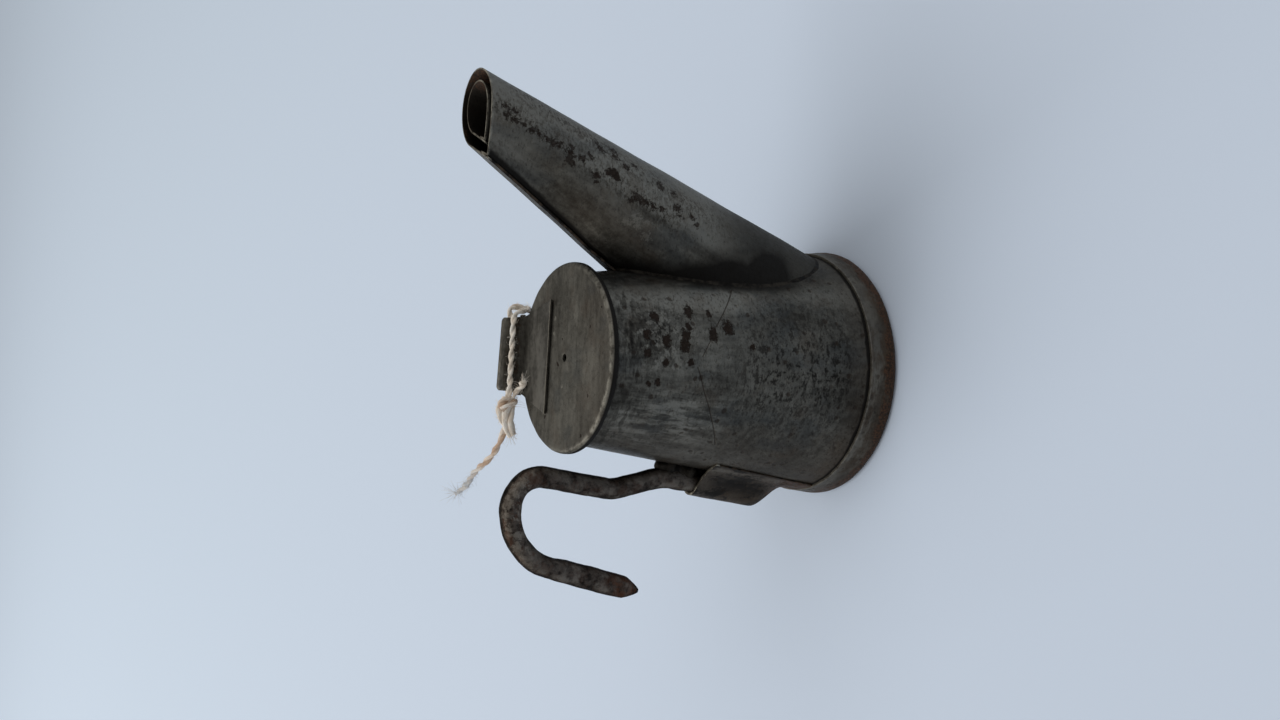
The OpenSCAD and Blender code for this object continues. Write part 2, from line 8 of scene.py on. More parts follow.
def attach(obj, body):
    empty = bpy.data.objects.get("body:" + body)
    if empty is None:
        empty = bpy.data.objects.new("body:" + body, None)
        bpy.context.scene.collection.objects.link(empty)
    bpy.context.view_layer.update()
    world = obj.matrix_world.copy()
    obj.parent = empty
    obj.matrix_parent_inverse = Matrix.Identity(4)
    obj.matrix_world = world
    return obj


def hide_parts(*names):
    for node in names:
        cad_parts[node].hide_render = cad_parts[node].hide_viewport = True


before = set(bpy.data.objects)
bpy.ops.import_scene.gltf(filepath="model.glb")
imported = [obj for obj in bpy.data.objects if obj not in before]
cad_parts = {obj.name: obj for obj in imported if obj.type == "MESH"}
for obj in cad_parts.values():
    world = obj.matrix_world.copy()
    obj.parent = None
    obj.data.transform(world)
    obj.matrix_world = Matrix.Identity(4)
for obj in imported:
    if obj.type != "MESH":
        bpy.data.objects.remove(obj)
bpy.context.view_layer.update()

mm = 0.001
draw = random.Random(7)


# Work on meshes

def deselectAll():
    bpy.ops.object.select_all(action="DESELECT")


def choose(piece):
    deselectAll()
    piece.select_set(True)
    bpy.context.view_layer.objects.active = piece


def inEditMode(piece, *steps):
    choose(piece)
    bpy.ops.object.mode_set(mode="EDIT")
    bpy.ops.mesh.select_all(action="SELECT")
    for step in steps:
        step()
    bpy.ops.object.mode_set(mode="OBJECT")


def applyModifier(piece, kind, **settings):
    modifier = piece.modifiers.new(kind.title(), kind)
    for name, value in settings.items():
        setattr(modifier, name, value)
    choose(piece)
    bpy.ops.object.modifier_apply(modifier=modifier.name)


def mergeDoubles():
    bpy.ops.mesh.remove_doubles(threshold=0.002 * mm)


def turnOutward():
    bpy.ops.mesh.normals_make_consistent(inside=False)


def smooth(piece, angle=38):
    choose(piece)
    bpy.ops.object.shade_smooth_by_angle(angle=math.radians(angle))


def softenEdges(piece, width, segments=2, angle=45):
    applyModifier(piece, "BEVEL", width=width * mm, segments=segments, limit_method="ANGLE",
                  angle_limit=math.radians(angle))


def bentSheet(name, columns, rows, place):
    # a flat sheet whose points are bent to their places, given in millimetres
    deselectAll()
    bpy.ops.mesh.primitive_grid_add(x_subdivisions=columns - 1, y_subdivisions=rows - 1, size=2)
    piece = bpy.context.object
    piece.name = name
    if len(piece.data.vertices) != columns * rows:
        raise ValueError(f"{name}: the grid has {len(piece.data.vertices)} points")
    for point in piece.data.vertices:
        column = round((point.co.x + 1) / 2 * (columns - 1))
        row = round((point.co.y + 1) / 2 * (rows - 1))
        point.co = Vector(place(column, row)) * mm
    piece.data.update()
    return piece


def faceAwayFrom(piece, core):
    # core gives the point, in millimetres, that lies inside beside a point of the sheet
    total = 0
    for face in piece.data.polygons:
        total += face.area * face.normal.dot(face.center - Vector(core(face.center / mm)) * mm)
    if total < 0:
        inEditMode(piece, bpy.ops.mesh.flip_normals)


def thicken(piece, thickness, finishes):
    # outside, inside and cut edge each have a finish
    for finish in finishes:
        piece.data.materials.append(finish)
    applyModifier(piece, "SOLIDIFY", thickness=thickness * mm, offset=-1, use_even_offset=True,
                  material_offset=1, material_offset_rim=2)


def join(pieces, name):
    choose(pieces[0])
    for piece in pieces:
        piece.select_set(True)
    bpy.ops.object.join()
    bpy.context.object.name = name
    return bpy.context.object


def turned(name, profile, steps):
    # an outline of (radius, height), drawn point by point and spun round the font's axis
    deselectAll()
    bpy.ops.mesh.primitive_plane_add(size=mm)
    piece = bpy.context.object
    piece.name = name
    bpy.ops.object.mode_set(mode="EDIT")
    bpy.ops.mesh.select_all(action="SELECT")
    bpy.ops.mesh.merge(type="CENTER")
    bpy.ops.transform.translate(value=(profile[0][0] * mm, 0, profile[0][1] * mm))
    for (r0, z0), (r1, z1) in zip(profile, profile[1:]):
        bpy.ops.mesh.extrude_vertices_move(
            TRANSFORM_OT_translate={"value": ((r1 - r0) * mm, 0, (z1 - z0) * mm)})
    bpy.ops.mesh.select_all(action="SELECT")
    bpy.ops.mesh.spin(steps=steps, angle=2 * math.pi, center=(0, 0, 0), axis=(0, 0, 1))
    bpy.ops.mesh.select_all(action="SELECT")
    mergeDoubles()
    turnOutward()
    bpy.ops.object.mode_set(mode="OBJECT")
    return piece


def nudge(piece, offset):
    # moves each point by what offset gives for its place, in millimetres
    for point in piece.data.vertices:
        point.co += Vector(offset(point.co / mm)) * mm
    piece.data.update()


def swell(place, size, seed=0.0):
    return noise.noise(Vector(place) / size + Vector((seed, seed * 1.7, -seed)))


def ease(value, low, high):
    t = min(1, max(0, (value - low) / (high - low)))
    return t * t * (3 - 2 * t)


def crossing(f, near, past):
    # where f falls through nothing, found by halving
    for _ in range(30):
        mid = (near + past) / 2
        if f(mid) > 0:
            near = mid
        else:
            past = mid
    return mid


def resampled(route, step):
    # a smooth curve through the route's points, cut into even steps
    points = [Vector(p) for p in route]
    points = [2 * points[0] - points[1]] + points + [2 * points[-1] - points[-2]]
    fine = []
    for a, b, c, d in zip(points, points[1:], points[2:], points[3:]):
        for i in range(24):
            t = i / 24
            fine.append(0.5 * (2 * b + (c - a) * t + (2 * a - 5 * b + 4 * c - d) * t * t
                               + (3 * b - a - 3 * c + d) * t * t * t))
    fine.append(points[-2])
    length = sum((q - p).length for p, q in zip(fine, fine[1:]))
    count = max(2, round(length / step))
    even, gone, k = [fine[0]], 0, 0
    for i in range(1, count):
        goal = length * i / count
        while gone + (fine[k + 1] - fine[k]).length < goal:
            gone += (fine[k + 1] - fine[k]).length
            k += 1
        even.append(fine[k].lerp(fine[k + 1], (goal - gone) / (fine[k + 1] - fine[k]).length))
    return even + [fine[-1]]


def routeLength(points):
    return sum((q - p).length for p, q in zip(points, points[1:]))


def tubeAlong(name, path, around, radius, firstUp, notes=None):
    # radius gives millimetres for a step of the path and an angle; the ends are drawn shut
    # notes are point attributes, each from a step and an angle too
    last = len(path) - 1
    rings = []
    up = Vector(firstUp)
    for k, point in enumerate(path):
        along = (path[min(k + 1, last)] - path[max(k - 1, 0)]).normalized()
        up = (up - up.dot(along) * along).normalized()
        rings.append((point, up, along.cross(up)))
    rings = [rings[0]] + rings + [rings[-1]]

    def place(column, row):
        point, rise, side = rings[row]
        if row in (0, len(rings) - 1):
            return point
        angle = 2 * math.pi * column / around
        reach = radius(row - 1, angle)
        return point + reach * (math.cos(angle) * rise + math.sin(angle) * side)

    piece = bentSheet(name, around + 1, len(rings), place)
    for title, note in (notes or {}).items():
        vector = title == "lay"
        kept = piece.data.attributes.new(title, "FLOAT_VECTOR" if vector else "FLOAT", "POINT")
        for i, item in enumerate(kept.data):
            row, column = divmod(i, around + 1)
            value = note(min(max(row - 1, 0), last), 2 * math.pi * column / around)
            if vector:
                item.vector = value
            else:
                item.value = value
    inEditMode(piece, mergeDoubles, turnOutward)
    return piece


def cutAway(piece, unwanted):
    choose(piece)
    bpy.ops.object.mode_set(mode="EDIT")
    bpy.ops.mesh.select_mode(type="FACE")
    bpy.ops.mesh.select_all(action="DESELECT")
    bpy.ops.object.mode_set(mode="OBJECT")
    for face in piece.data.polygons:
        face.select = unwanted(face)
    bpy.ops.object.mode_set(mode="EDIT")
    bpy.ops.mesh.delete(type="FACE")
    bpy.ops.mesh.select_mode(type="VERT")
    bpy.ops.object.mode_set(mode="OBJECT")


def hold(piece, body, slot, *replaced):
    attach(piece, body)
    if replaced:
        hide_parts(*replaced)
    print("made", piece.name, len(piece.data.polygons), "faces")


# Work on finishes

class Value:
    def __init__(self, finish, socket):
        self.finish = finish
        self.socket = socket

    def maths(self, operation, other, swapped=False):
        first, second = (other, self) if swapped else (self, other)
        return self.finish.node("Math", {"operation": operation}, {0: first, 1: second})

    def __add__(self, other):
        return self.maths("ADD", other)

    def __sub__(self, other):
        return self.maths("SUBTRACT", other)

    def __rsub__(self, other):
        return self.maths("SUBTRACT", other, swapped=True)

    def __mul__(self, other):
        return self.maths("MULTIPLY", other)

    def __truediv__(self, other):
        return self.maths("DIVIDE", other)

    def __rtruediv__(self, other):
        return self.maths("DIVIDE", other, swapped=True)

    def __pow__(self, other):
        return self.maths("POWER", other)

    def __abs__(self):
        return self.maths("ABSOLUTE", 0.0)

    def least(self, other):
        return self.maths("MINIMUM", other)

    def most(self, other):
        return self.maths("MAXIMUM", other)

    __radd__ = __add__
    __rmul__ = __mul__


class Finish:
    def __init__(self, name):
        self.material = bpy.data.materials.new(name)
        self.material.use_nodes = True
        self.tree = self.material.node_tree
        self.tree.nodes.clear()
        self.here = self.node("TexCoord", out="Object")
        metres = [self.node("SeparateXYZ", sockets={0: self.here}, out=axis) for axis in range(3)]
        self.x, self.y, self.z = [value * 1000.0 for value in metres]   # in millimetres
        self.reach = (self.x * self.x + self.y * self.y) ** 0.5

    def node(self, kind, settings=None, sockets=None, out=0):
        made = self.tree.nodes.new("ShaderNode" + kind)
        for name, value in (settings or {}).items():
            setattr(made, name, value)
        for name, value in (sockets or {}).items():
            if isinstance(value, Value):
                self.tree.links.new(value.socket, made.inputs[name])
            else:
                made.inputs[name].default_value = value
        return Value(self, made.outputs[out]) if len(made.outputs) else None

    def stretched(self, scale, lean=0.0):
        # lean first turns the pattern about Y
        turned = self.node("Mapping", sockets={"Vector": self.here, "Rotation": (0, lean, 0)}) if lean else self.here
        return self.node("Mapping", sockets={"Vector": turned, "Scale": scale})

    def clouds(self, size, detail=4.0, rough=0.55, where=None):
        # noise whose patches are about size millimetres
        return self.node("TexNoise", sockets={"Vector": where or self.here, "Scale": 1000 / size,
                                              "Detail": detail, "Roughness": rough})

    def between(self, value, low, high, floor=0.0, top=1.0):
        return self.node("MapRange", {"interpolation_type": "SMOOTHSTEP"},
                         {0: value, 1: low, 2: high, 3: floor, 4: top})

    def blot(self, value, middle, width):
        # 1 at the middle, fading to 0 at the width
        return self.between(abs(value - middle), 0.0, width, 1.0, 0.0)

    def mix(self, share, a, b):
        return self.node("Mix", {"data_type": "RGBA"}, {0: share, 6: a, 7: b}, out=2)

    def wobbled(self, vector, size, amount):
        # a vector shifted by noise, amount in the vector's own unit
        shift = self.node("TexNoise", sockets={"Vector": self.here, "Scale": 1000 / size, "Detail": 4.0}, out="Color")
        centred = self.node("VectorMath", {"operation": "SUBTRACT"}, {0: shift, 1: (0.5, 0.5, 0.5)})
        scaled = self.node("VectorMath", {"operation": "SCALE"}, {0: centred, "Scale": amount})
        return self.node("VectorMath", {"operation": "ADD"}, {0: vector, 1: scaled})

    def spots(self, across, along, marks, ragged=2.4):
        # ragged blots, wider than tall, each given as (across, along, radius) in millimetres
        flat = self.wobbled(self.node("CombineXYZ", sockets={0: across, 1: along * 1.35}), 1.3, 1.6)
        nearest = None
        for u, v, radius in marks:
            where = (u, v * 1.35, 0.0)
            gap = self.node("VectorMath", {"operation": "DISTANCE"}, {0: flat, 1: where}, out="Value") / radius
            nearest = gap.least(nearest) if nearest else gap
        return self.between(nearest + (self.clouds(0.5, 4.0, 0.75) - 0.5) * ragged, 0.75, 1.1, 1.0, 0.0)

    def strokes(self, across, along, marks, width):
        # thin lines from each mark to the next
        drawn = None
        for (u0, v0), (u1, v1) in zip(marks, marks[1:]):
            length = math.hypot(u1 - u0, v1 - v0)
            du, dv = (u1 - u0) / length, (v1 - v0) / length
            run = (across - u0) * du + (along - v0) * dv
            off = abs((along - v0) * du - (across - u0) * dv)
            line = self.between(off, width * 0.3, width, 1.0, 0.0)
            line = line * self.between(abs(run - length / 2), length / 2 + 0.3, length / 2)
            drawn = line.most(drawn) if drawn else line
        return drawn

    def pocks(self, size, reach, share):
        # round pits of uneven size in a share of the cells
        sockets = {"Vector": self.wobbled(self.here, size * 0.8, size * 0.5 * mm), "Scale": 1000 / size}
        luck = self.node("SeparateColor", sockets={0: self.node("TexVoronoi", sockets=sockets, out="Color")})
        near = self.node("TexVoronoi", sockets=sockets, out="Distance")
        there = self.between(luck, 1 - share, 1 - share + 0.05)
        return self.between(near / (luck + 0.35), reach * 0.55, reach, 1.0, 0.0) * there

    def done(self, colour, roughness, metallic, height=None, depth=0.1, specular=0.5, rim=1.0):
        sockets = {"Base Color": colour, "Roughness": roughness, "Metallic": metallic,
                   "Specular IOR Level": specular, "Specular Tint": rgb(rim, rim, rim)}
        if height is not None:
            sockets["Normal"] = self.node("Bump", sockets={"Height": height, "Distance": depth * mm, "Strength": 1.0})
        shader = self.node("BsdfPrincipled", sockets=sockets)
        self.node("OutputMaterial", sockets={0: shader})
        return self.material


def rgb(r, g, b):
    return (r, g, b, 1.0)


tones = {
    "dark": rgb(0.027, 0.025, 0.021),
    "light": rgb(0.178, 0.172, 0.150),
    "blue": rgb(0.042, 0.050, 0.054),
    "sootAndShade": rgb(0.008, 0.007, 0.006),
    # the near-black of soot and pits, also used for painted shade: in creases, under the lid's rim, beside the spout
    # and on the rod's sides
    "brown": rgb(0.062, 0.042, 0.027),
    "rust": rgb(0.078, 0.036, 0.018),
    "deepRust": rgb(0.015, 0.010, 0.007),
    "pit": rgb(0.028, 0.019, 0.014),
    "bright": rgb(0.34, 0.325, 0.28),
}


def tinFinish(name, paint, shift=0.0, contrast=1.0, pitting=0.5, gloss=0.0, lean=0.0, drawn=(1.4, 1.4, 0.22),
              worn=None):
    # paint gives what this piece adds, each 0 to 1: lift, brown, dark, rust, pits, and calm, where the streak pattern
    # is weak; on some pieces lift also holds painted highlight and reflection, and dark also holds painted shade
    f = Finish(name)
    marks = {"lift": 0.0, "brown": 0.0, "dark": 0.0, "rust": 0.0, "pits": 0.0, "calm": 0.0, **paint(f)}
    cloud = f.clouds(13, 3.0, 0.5)
    streak = f.clouds(2.8, 5.0, 0.65, where=f.stretched(drawn, lean))
    mottle = f.clouds(1.3, 6.0, 0.74)
    grain = f.clouds(0.4, 4.0, 0.7)
    fine = f.clouds(0.8, 6.0, 0.78, where=f.stretched((1.0, 1.0, 2.0)))
    streak = (streak - 0.5) * (1.0 - marks["calm"])
    tone = cloud * 0.34 + streak * 0.34 + mottle * 0.32 + (marks["lift"] * 0.26 + (shift + 0.17))
    colour = f.mix(f.between(tone, 0.5 - 0.16 / contrast, 0.5 + 0.20 / contrast), tones["dark"], tones["light"])
    blue = f.between(f.clouds(9, 3.0, where=f.stretched((1.3, 1.0, 0.7))), 0.50, 0.66)
    colour = f.mix(blue * 0.35, colour, tones["blue"])
    brown = f.between(f.clouds(6, 4.0, 0.6), 0.52, 0.68) * 0.35 + marks["brown"]
    colour = f.mix(brown * 0.75, colour, tones["brown"])
    pitted = f.between(fine, 0.52, 0.64) * (0.25 + 0.75 * pitting)
    colour = f.mix(pitted * 0.9, colour, tones["sootAndShade"])
    colour = f.mix(marks["dark"], colour, tones["sootAndShade"])
    rusty = f.between(marks["rust"] + (f.clouds(2.2, 6.0, 0.72) - 0.5) * 1.2, 0.45, 0.75)
    colour = f.mix(rusty * 0.85, colour, f.mix(f.between(grain, 0.40, 0.62), tones["deepRust"], tones["rust"]))
    colour = f.mix(marks["pits"], colour, f.mix(f.between(grain, 0.46, 0.64), tones["deepRust"], tones["pit"]))
    rough = f.between(mottle, 0.35, 0.65, 0.34 - gloss, 0.47 - gloss) + pitted * 0.15 + rusty * 0.20
    rough = rough + marks["pits"] * 0.35 + marks["dark"] * 0.25
    metal = 0.72 - rusty * 0.5 - marks["pits"] * 0.55 - brown * 0.25 - marks["dark"] * 0.3
    height = f.clouds(9, 2.0) * 0.8 + grain * 0.10 + mottle * 0.20 - pitted * 0.30 - marks["pits"] * 1.0
    # worn places are rubbed bright; on the lid's front ring and the cup's lip they also hold a painted highlight
    if worn:
        bright = worn(f) * f.between(f.clouds(1.5, 5.0, 0.7), 0.40, 0.60)
        colour = f.mix(bright * 0.8, colour, tones["bright"])
        rough = rough - bright * 0.08
    return f.done(colour, rough, metal, height, 0.14, specular=0.3, rim=0.45)


# Marks that the photograph shows on the font's front, as (x, z, radius)
fontSpots = ((-3.8, 51.2, 0.7), (-3.4, 49.4, 0.8), (5.2, 51.8, 1.1), (8.4, 49.7, 1.0), (1.9, 51.8, 0.9), (0.3, 48.2, 0.8),
             (4.2, 48.0, 1.3), (3.6, 44.5, 1.4), (5.4, 44.1, 1.2), (6.9, 43.4, 1.0), (9.8, 42.8, 1.2), (0.6, 43.3, 0.9),
             (5.8, 38.7, 1.2), (7.3, 35.5, 1.5), (9.6, 38.9, 0.8), (4.0, 30.8, 0.9))
fontScratches = (((-14.5, 33.6), (-9.5, 37.1), (-4.6, 40.1), (-0.4, 41.9)), ((1.8, 41.0), (7.1, 38.1), (14.5, 32.2)))
# and on the spout's near side, as (distance down from the mouth, distance up from the centre line, radius)
spoutPatch = ((25.9, -1.7, 1.25), (24.9, -1.2, 0.8), (26.8, -1.2, 0.7))
spoutSpots = ((23.1, 0.7, 0.9), (23.6, 1.6, 0.6), (3.5, 0.6, 0.7), (2.6, -0.6, 0.6), (4.4, -0.8, 0.6), (5.3, 0.4, 0.8),
              (7.0, 0.2, 0.6), (8.7, 0.3, 0.8), (10.2, 0.1, 0.6), (12.0, 0.1, 0.7), (13.1, 0.0, 0.9), (14.5, -0.3, 0.7),
              (17.1, 0.0, 1.1), (17.6, 1.3, 0.9), (16.7, -1.2, 0.7), (19.3, -0.6, 0.8), (20.6, -1.9, 0.7),
              (20.8, -5.3, 0.6), (22.3, -4.6, 0.8), (25.2, -5.0, 0.9), (24.6, -6.0, 0.7), (27.9, -4.3, 0.8),
              (29.4, -5.6, 0.6), (31.2, 0.8, 0.7), (32.1, -0.2, 1.1), (33.5, -0.3, 1.1), (35.6, -0.4, 0.8),
              (35.7, -5.2, 0.9), (37.2, -1.2, 0.7), (38.6, -5.6, 0.6), (40.0, -3.0, 1.0), (41.3, -2.2, 0.8),
              (43.5, -3.4, 0.7), (45.2, -2.4, 0.6))


def alongSpout(f):
    # distances down the spout's centre line from its mouth, and up across it
    c, s = math.cos(spoutRise), math.sin(spoutRise)
    mouthX, mouthZ = spout["mouth"][0], spout["mouth"][2]
    return (mouthX - f.x) * c + (mouthZ - f.z) * s, (f.z - mouthZ) * c - (f.x - mouthX) * s


def plainPaint(f):
    return {"pits": f.pocks(2.4, 0.20, 0.25)}


def fontPaint(f):
    front = f.between(f.y, 0.0, -6.0)
    scratches = f.strokes(f.x, f.z, fontScratches[0], 0.16).most(f.strokes(f.x, f.z, fontScratches[1], 0.14))
    spots = f.spots(f.x, f.z, fontSpots) * front
    rough = f.clouds(1.5, 6.0, 0.78, where=f.stretched((0.9, 1.0, 1.6)))
    low = f.blot(f.x, 0.0, 21.0) * f.between(f.z, 7.0, 12.0) * f.between(f.z, 40.0, 26.0)
    high = f.blot(f.x, 5.0, 10.0) * f.blot(f.z, 49.0, 11.0)
    pocked = f.between(rough, 0.50, 0.58) * low.most(high) * front
    # painted reflection: an upright pale band on the font's front, right of the middle
    reflectionBand = f.blot(f.x, 12.2, 3.0) * f.between(f.z, 22.0, 36.0) * front
    # streaky pale patches on the left: streaky tone, and a painted reflection of a window
    streaksAndReflection = f.clouds(2.2, 4.0, 0.6, where=f.stretched((1.6, 1.6, 0.30)))
    streaksAndReflection = f.blot(f.x, -10.0, 7.5) * f.blot(f.z, 45.0, 16.0) * f.between(streaksAndReflection, 0.40, 0.66)
    pale = high * f.between(f.clouds(2.4, 5.0, 0.7), 0.50, 0.62)
    # painted shade on the font beside the spout's foot
    spoutFootShade = f.blot(f.x, 18.4, 3.2) * f.between(f.z, 8.0, 14.0) * f.between(f.z, 34.0, 26.0) * 0.6
    down, across = alongSpout(f)
    beside = (across * across + f.y * f.y) ** 0.5 - (down * math.tan(math.radians(spout["taper"])) + spout["mouthRadius"])
    # painted shade in the crook between font and spout
    crookShade = f.between(beside, 2.6, 0.5) * f.between(f.x, 5.0, 12.0) * f.between(f.z, 12.0, 20.0) * 0.9
    joint = f.between(f.z + (f.clouds(5.0) - 0.5) * 1.2, 6.8, 6.35)
    shade = f.between(f.z, 57.0, 57.6)
    top = f.blot(f.z, 54.5, 4.5) * f.between(f.clouds(2.2, 4.0, 0.6, where=f.stretched((0.5, 1.0, 2.0))), 0.46, 0.60) * 0.6
    left = f.between(f.x, -8.0, -17.0) * 0.35
    foot = f.between(f.z, 13.0, 6.5) * 0.35
    # the front's middle a little paler, and low down at x 15 a painted reflection, the lower end of the right-hand band
    middle = f.blot(f.z, 35.0, 11.0) * f.blot(f.x, 2.0, 14.0) * 0.22 + f.blot(f.x, 15.0, 4.0) * f.between(f.z, 30.0, 20.0) * 0.35
    return {"lift": reflectionBand * 1.1 + streaksAndReflection * 1.2 + pale * 1.2 + low * 0.06 + middle - f.between(f.z, 30.0, 12.0) * 0.10 - 0.06,
            "calm": (f.between(f.z, 40.0, 30.0) * 0.75).least(front),
            "brown": (left + foot).least(0.8), "rust": foot * 0.6 + left * 0.5,
            "dark": (spoutFootShade + joint + shade + top + pocked * 0.92).most(crookShade).least(0.97),
            "pits": (spots + scratches * 0.65 + f.pocks(2.0, 0.24, 0.22) * 0.7).least(1.0)}


def cupPaint(f):
    low = f.between(f.z + (f.clouds(3.0, 5.0, 0.65, where=f.stretched((0.5, 0.5, 1.4))) - 0.5) * 5.0, 4.2, 1.4)
    patches = f.between(f.clouds(4.0, 5.0, 0.68, where=f.stretched((0.5, 0.5, 1.3))), 0.48, 0.58)
    return {"lift": f.between(f.z, 3.0, 5.0) * 0.45 - patches * 0.25, "brown": (low * 0.6 + patches * 0.35 + 0.42).least(1.2),
            "rust": low * 0.78 + patches * 0.10 + 0.06, "pits": f.pocks(1.8, 0.28, 0.35) * 0.5,
            "dark": f.between(f.z, 1.0, 0.1) * 0.6}


def sleevePaint(f):
    side = abs(f.y) + (f.clouds(3.0, 4.0, 0.6) - 0.5) * 1.6
    # painted shade in the valley pressed in beside the rod
    valley = f.blot(side, 3.9, 2.3) * f.between(f.z, 12.0, 16.0) * f.between(f.z, 29.5, 25.0)
    valley = valley * f.between(f.clouds(1.6, 5.0, 0.7, where=f.stretched((1.0, 1.0, 0.4))), 0.36, 0.52, 0.4, 1.0)
    # painted shadow line along the flange's free edge
    edge = f.between(abs(f.y), 7.3, 7.9) * 0.6
    patches = f.between(f.clouds(2.6, 6.0, 0.72, where=f.stretched((1.0, 1.0, 0.5))), 0.48, 0.56)
    # a pale line along the flange: painted highlight
    return {"lift": f.blot(abs(f.y), 6.6, 0.9) * 1.3 + 0.15, "brown": (f.between(f.z, 27.0, 12.0) * 0.4 + 0.75).least(1.0),
            "dark": (valley * 0.97 + edge).most(patches * 0.88).least(0.97), "rust": f.between(f.z, 20.0, 9.0) * 0.6 + 0.2,
            "pits": f.pocks(2.0, 0.25, 0.3) * 0.5}


def lidPaint(f):
    # the turned-down rim is darkened: rusty black, and painted shade on its side
    rim = f.between(f.z, 59.42, 59.18)
    pale = f.blot(f.x, 8.7, 4.5) * f.blot(f.y, -3.6, 3.0) + f.blot(f.x, -1.0, 10.0) * f.blot(f.y, -11.0, 4.5)
    brushed = f.clouds(1.7, 6.0, 0.72, where=f.stretched((0.25, 1.8, 1.0)))
    marks = ((-1.2, 2.6, 0.45), (-11.5, 6.5, 0.4), (6.0, -9.0, 0.35), (-6.5, -10.0, 0.3), (3.4, 1.6, 0.3))
    scuffs = f.strokes(f.x, f.y, ((-16.2, 4.5), (-13.0, 6.4), (-9.5, 7.6)), 0.12)
    scuffs = scuffs.most(f.strokes(f.x, f.y, ((-2.5, -5.0), (3.5, -4.2), (9.5, -4.6)), 0.10))
    return {"lift": pale * 0.4 + (brushed - 0.5) * 0.7 + 0.12,
            "brown": f.between(f.y, -2.0, -13.0) * 0.22 + 0.06 + rim * 0.3, "dark": rim * 0.97 + scuffs * 0.4,
            "pits": (f.spots(f.x, f.y, marks) + f.pocks(3.4, 0.10, 0.3)).least(1.0)}


def lidWearAndHighlight(f):
    chips = f.spots(f.x, f.y, ((-5.4, 0.3, 0.55), (-4.7, 0.1, 0.3), (7.3, 4.7, 0.45), (4.6, 4.9, 0.35), (-10.6, -13.0, 0.5)))
    # the worn ring on the bevel is brightest at the front: rubbed edge, with a painted highlight there
    front = f.between(f.y, 6.0, -8.0, 0.25, 1.0)
    ring = f.between(f.reach, 16.7, 17.5) * f.between(f.z, 59.25, 59.5)
    return (ring * 0.55 * front + chips * 0.8).least(1.0)


def insidePaint(f):
    red = f.between(f.x, 46.5, 49.5) * f.between(f.z, 70.0, 76.0)
    return {"brown": f.clouds(6.0) * 0.9, "dark": f.clouds(5.0) * 0.3 + 0.68 - red * 0.6,
            "rust": f.clouds(5.0) * 0.8 + red * 0.4}


def edgeFinish(name, brightFrom):
    # cut edges of the sheet: dark with dirt and painted shadow, and rubbed bright from a height upward
    f = Finish(name)
    shade = f.between(f.clouds(1.4, 4.0, 0.6), 0.38, 0.62)
    dirtAndShade = f.mix(shade, tones["sootAndShade"], tones["brown"])
    rubbed = f.mix(shade, rgb(0.12, 0.105, 0.082), rgb(0.36, 0.34, 0.28))
    near = f.between(f.y, 3.0, -2.0, 0.35, 1.0)
    colour = f.mix(f.between(f.z, brightFrom - 0.2, brightFrom) * near, dirtAndShade, rubbed)
    return f.done(colour, 0.46 - shade * 0.1, 0.7, f.clouds(0.5), 0.02, rim=0.5)


# Shape of the font, and what follows it

font = {"height": 59.0, "baseRadius": 24.6, "topRadius": 15.9, "sheet": 0.5, "foot": 0.5,
        "seamAngle": 128, "lap": 12, "lapFade": 20, "wickHole": 12.0, "dripHole": 2.5}
bandTop = 6.0
wallLean = math.atan((font["baseRadius"] - font["topRadius"]) / font["height"])


def fontRadius(z):
    return font["baseRadius"] - (font["baseRadius"] - font["topRadius"]) * z / font["height"]


spout = {"mouth": (44.4, 0.0, 80.6), "mouthRadius": 6.4, "taper": 6.4, "land": 0.2, "sheet": 0.45,
         "pinch": 53, "seamTurn": 38, "seamRun": 32, "hiddenLap": 14, "lapFade": 40, "edgeLift": 0.25, "sink": 0.35,
         "rimThinned": 0.45}
wick = {"mouthRadius": 4.35, "taper": 4.5, "drop": 0.3, "aside": (0.15, 0.5, 0.0)}

landing = (fontRadius(bandTop + spout["land"]), bandTop + spout["land"])
run = (spout["mouth"][0] - landing[0], spout["mouth"][2] - landing[1])
spoutTaper = math.radians(spout["taper"])
spoutRise = (math.atan2(run[1], run[0])
             - math.asin(spout["mouthRadius"] * math.cos(spoutTaper) / math.hypot(*run)) - spoutTaper)
spoutDir = Vector((math.cos(spoutRise), 0, math.sin(spoutRise)))
spoutUp = Vector((-math.sin(spoutRise), 0, math.cos(spoutRise)))
spoutSide = Vector((0, -1, 0))


def seamAt(s):
    return spout["seamTurn"] + (9 - spout["seamTurn"]) * min(max(s, 0) / spout["seamRun"], 1)


def pinchAt(s):
    return max(9, spout["pinch"] * (1 - max(s, 0) / 45))


def rolledPoint(mouthRadius, taper, s, turn, lift):
    reach = mouthRadius + s * math.tan(math.radians(taper))
    folded = math.hypot(turn, 1.0)     # the fold's crest is a little round
    if folded < pinchAt(s):
        reach /= math.cos(math.radians(pinchAt(s) - folded))
    angle = math.radians(seamAt(s) + turn)
    return (Vector(spout["mouth"]) - s * spoutDir
            + (reach + lift) * (math.cos(angle) * spoutUp + math.sin(angle) * spoutSide))


def fromFont(point):
    return math.hypot(point.x, point.y) - fontRadius(point.z)


def footOf(mouthRadius, taper, turn, lift=0.0):
    return crossing(lambda s: fromFont(rolledPoint(mouthRadius, taper, s, turn, lift)), 10, 100)


# the sheet runs under its own lap, once round, and ends on top of the seam
sheetTurns = ([-spout["hiddenLap"], -9, -5, -2.5, -1, -0.3, 0.3, 1, 2.5, 5, 8, 12] + list(range(16, 316, 4))
              + [316, 320, 325, 330, 335, 340, 345, 350, 354, 357, 359, 360])
downSteps = [0, 0.014, 0.025] + [0.025 + 0.975 * i / 46 for i in range(1, 47)]


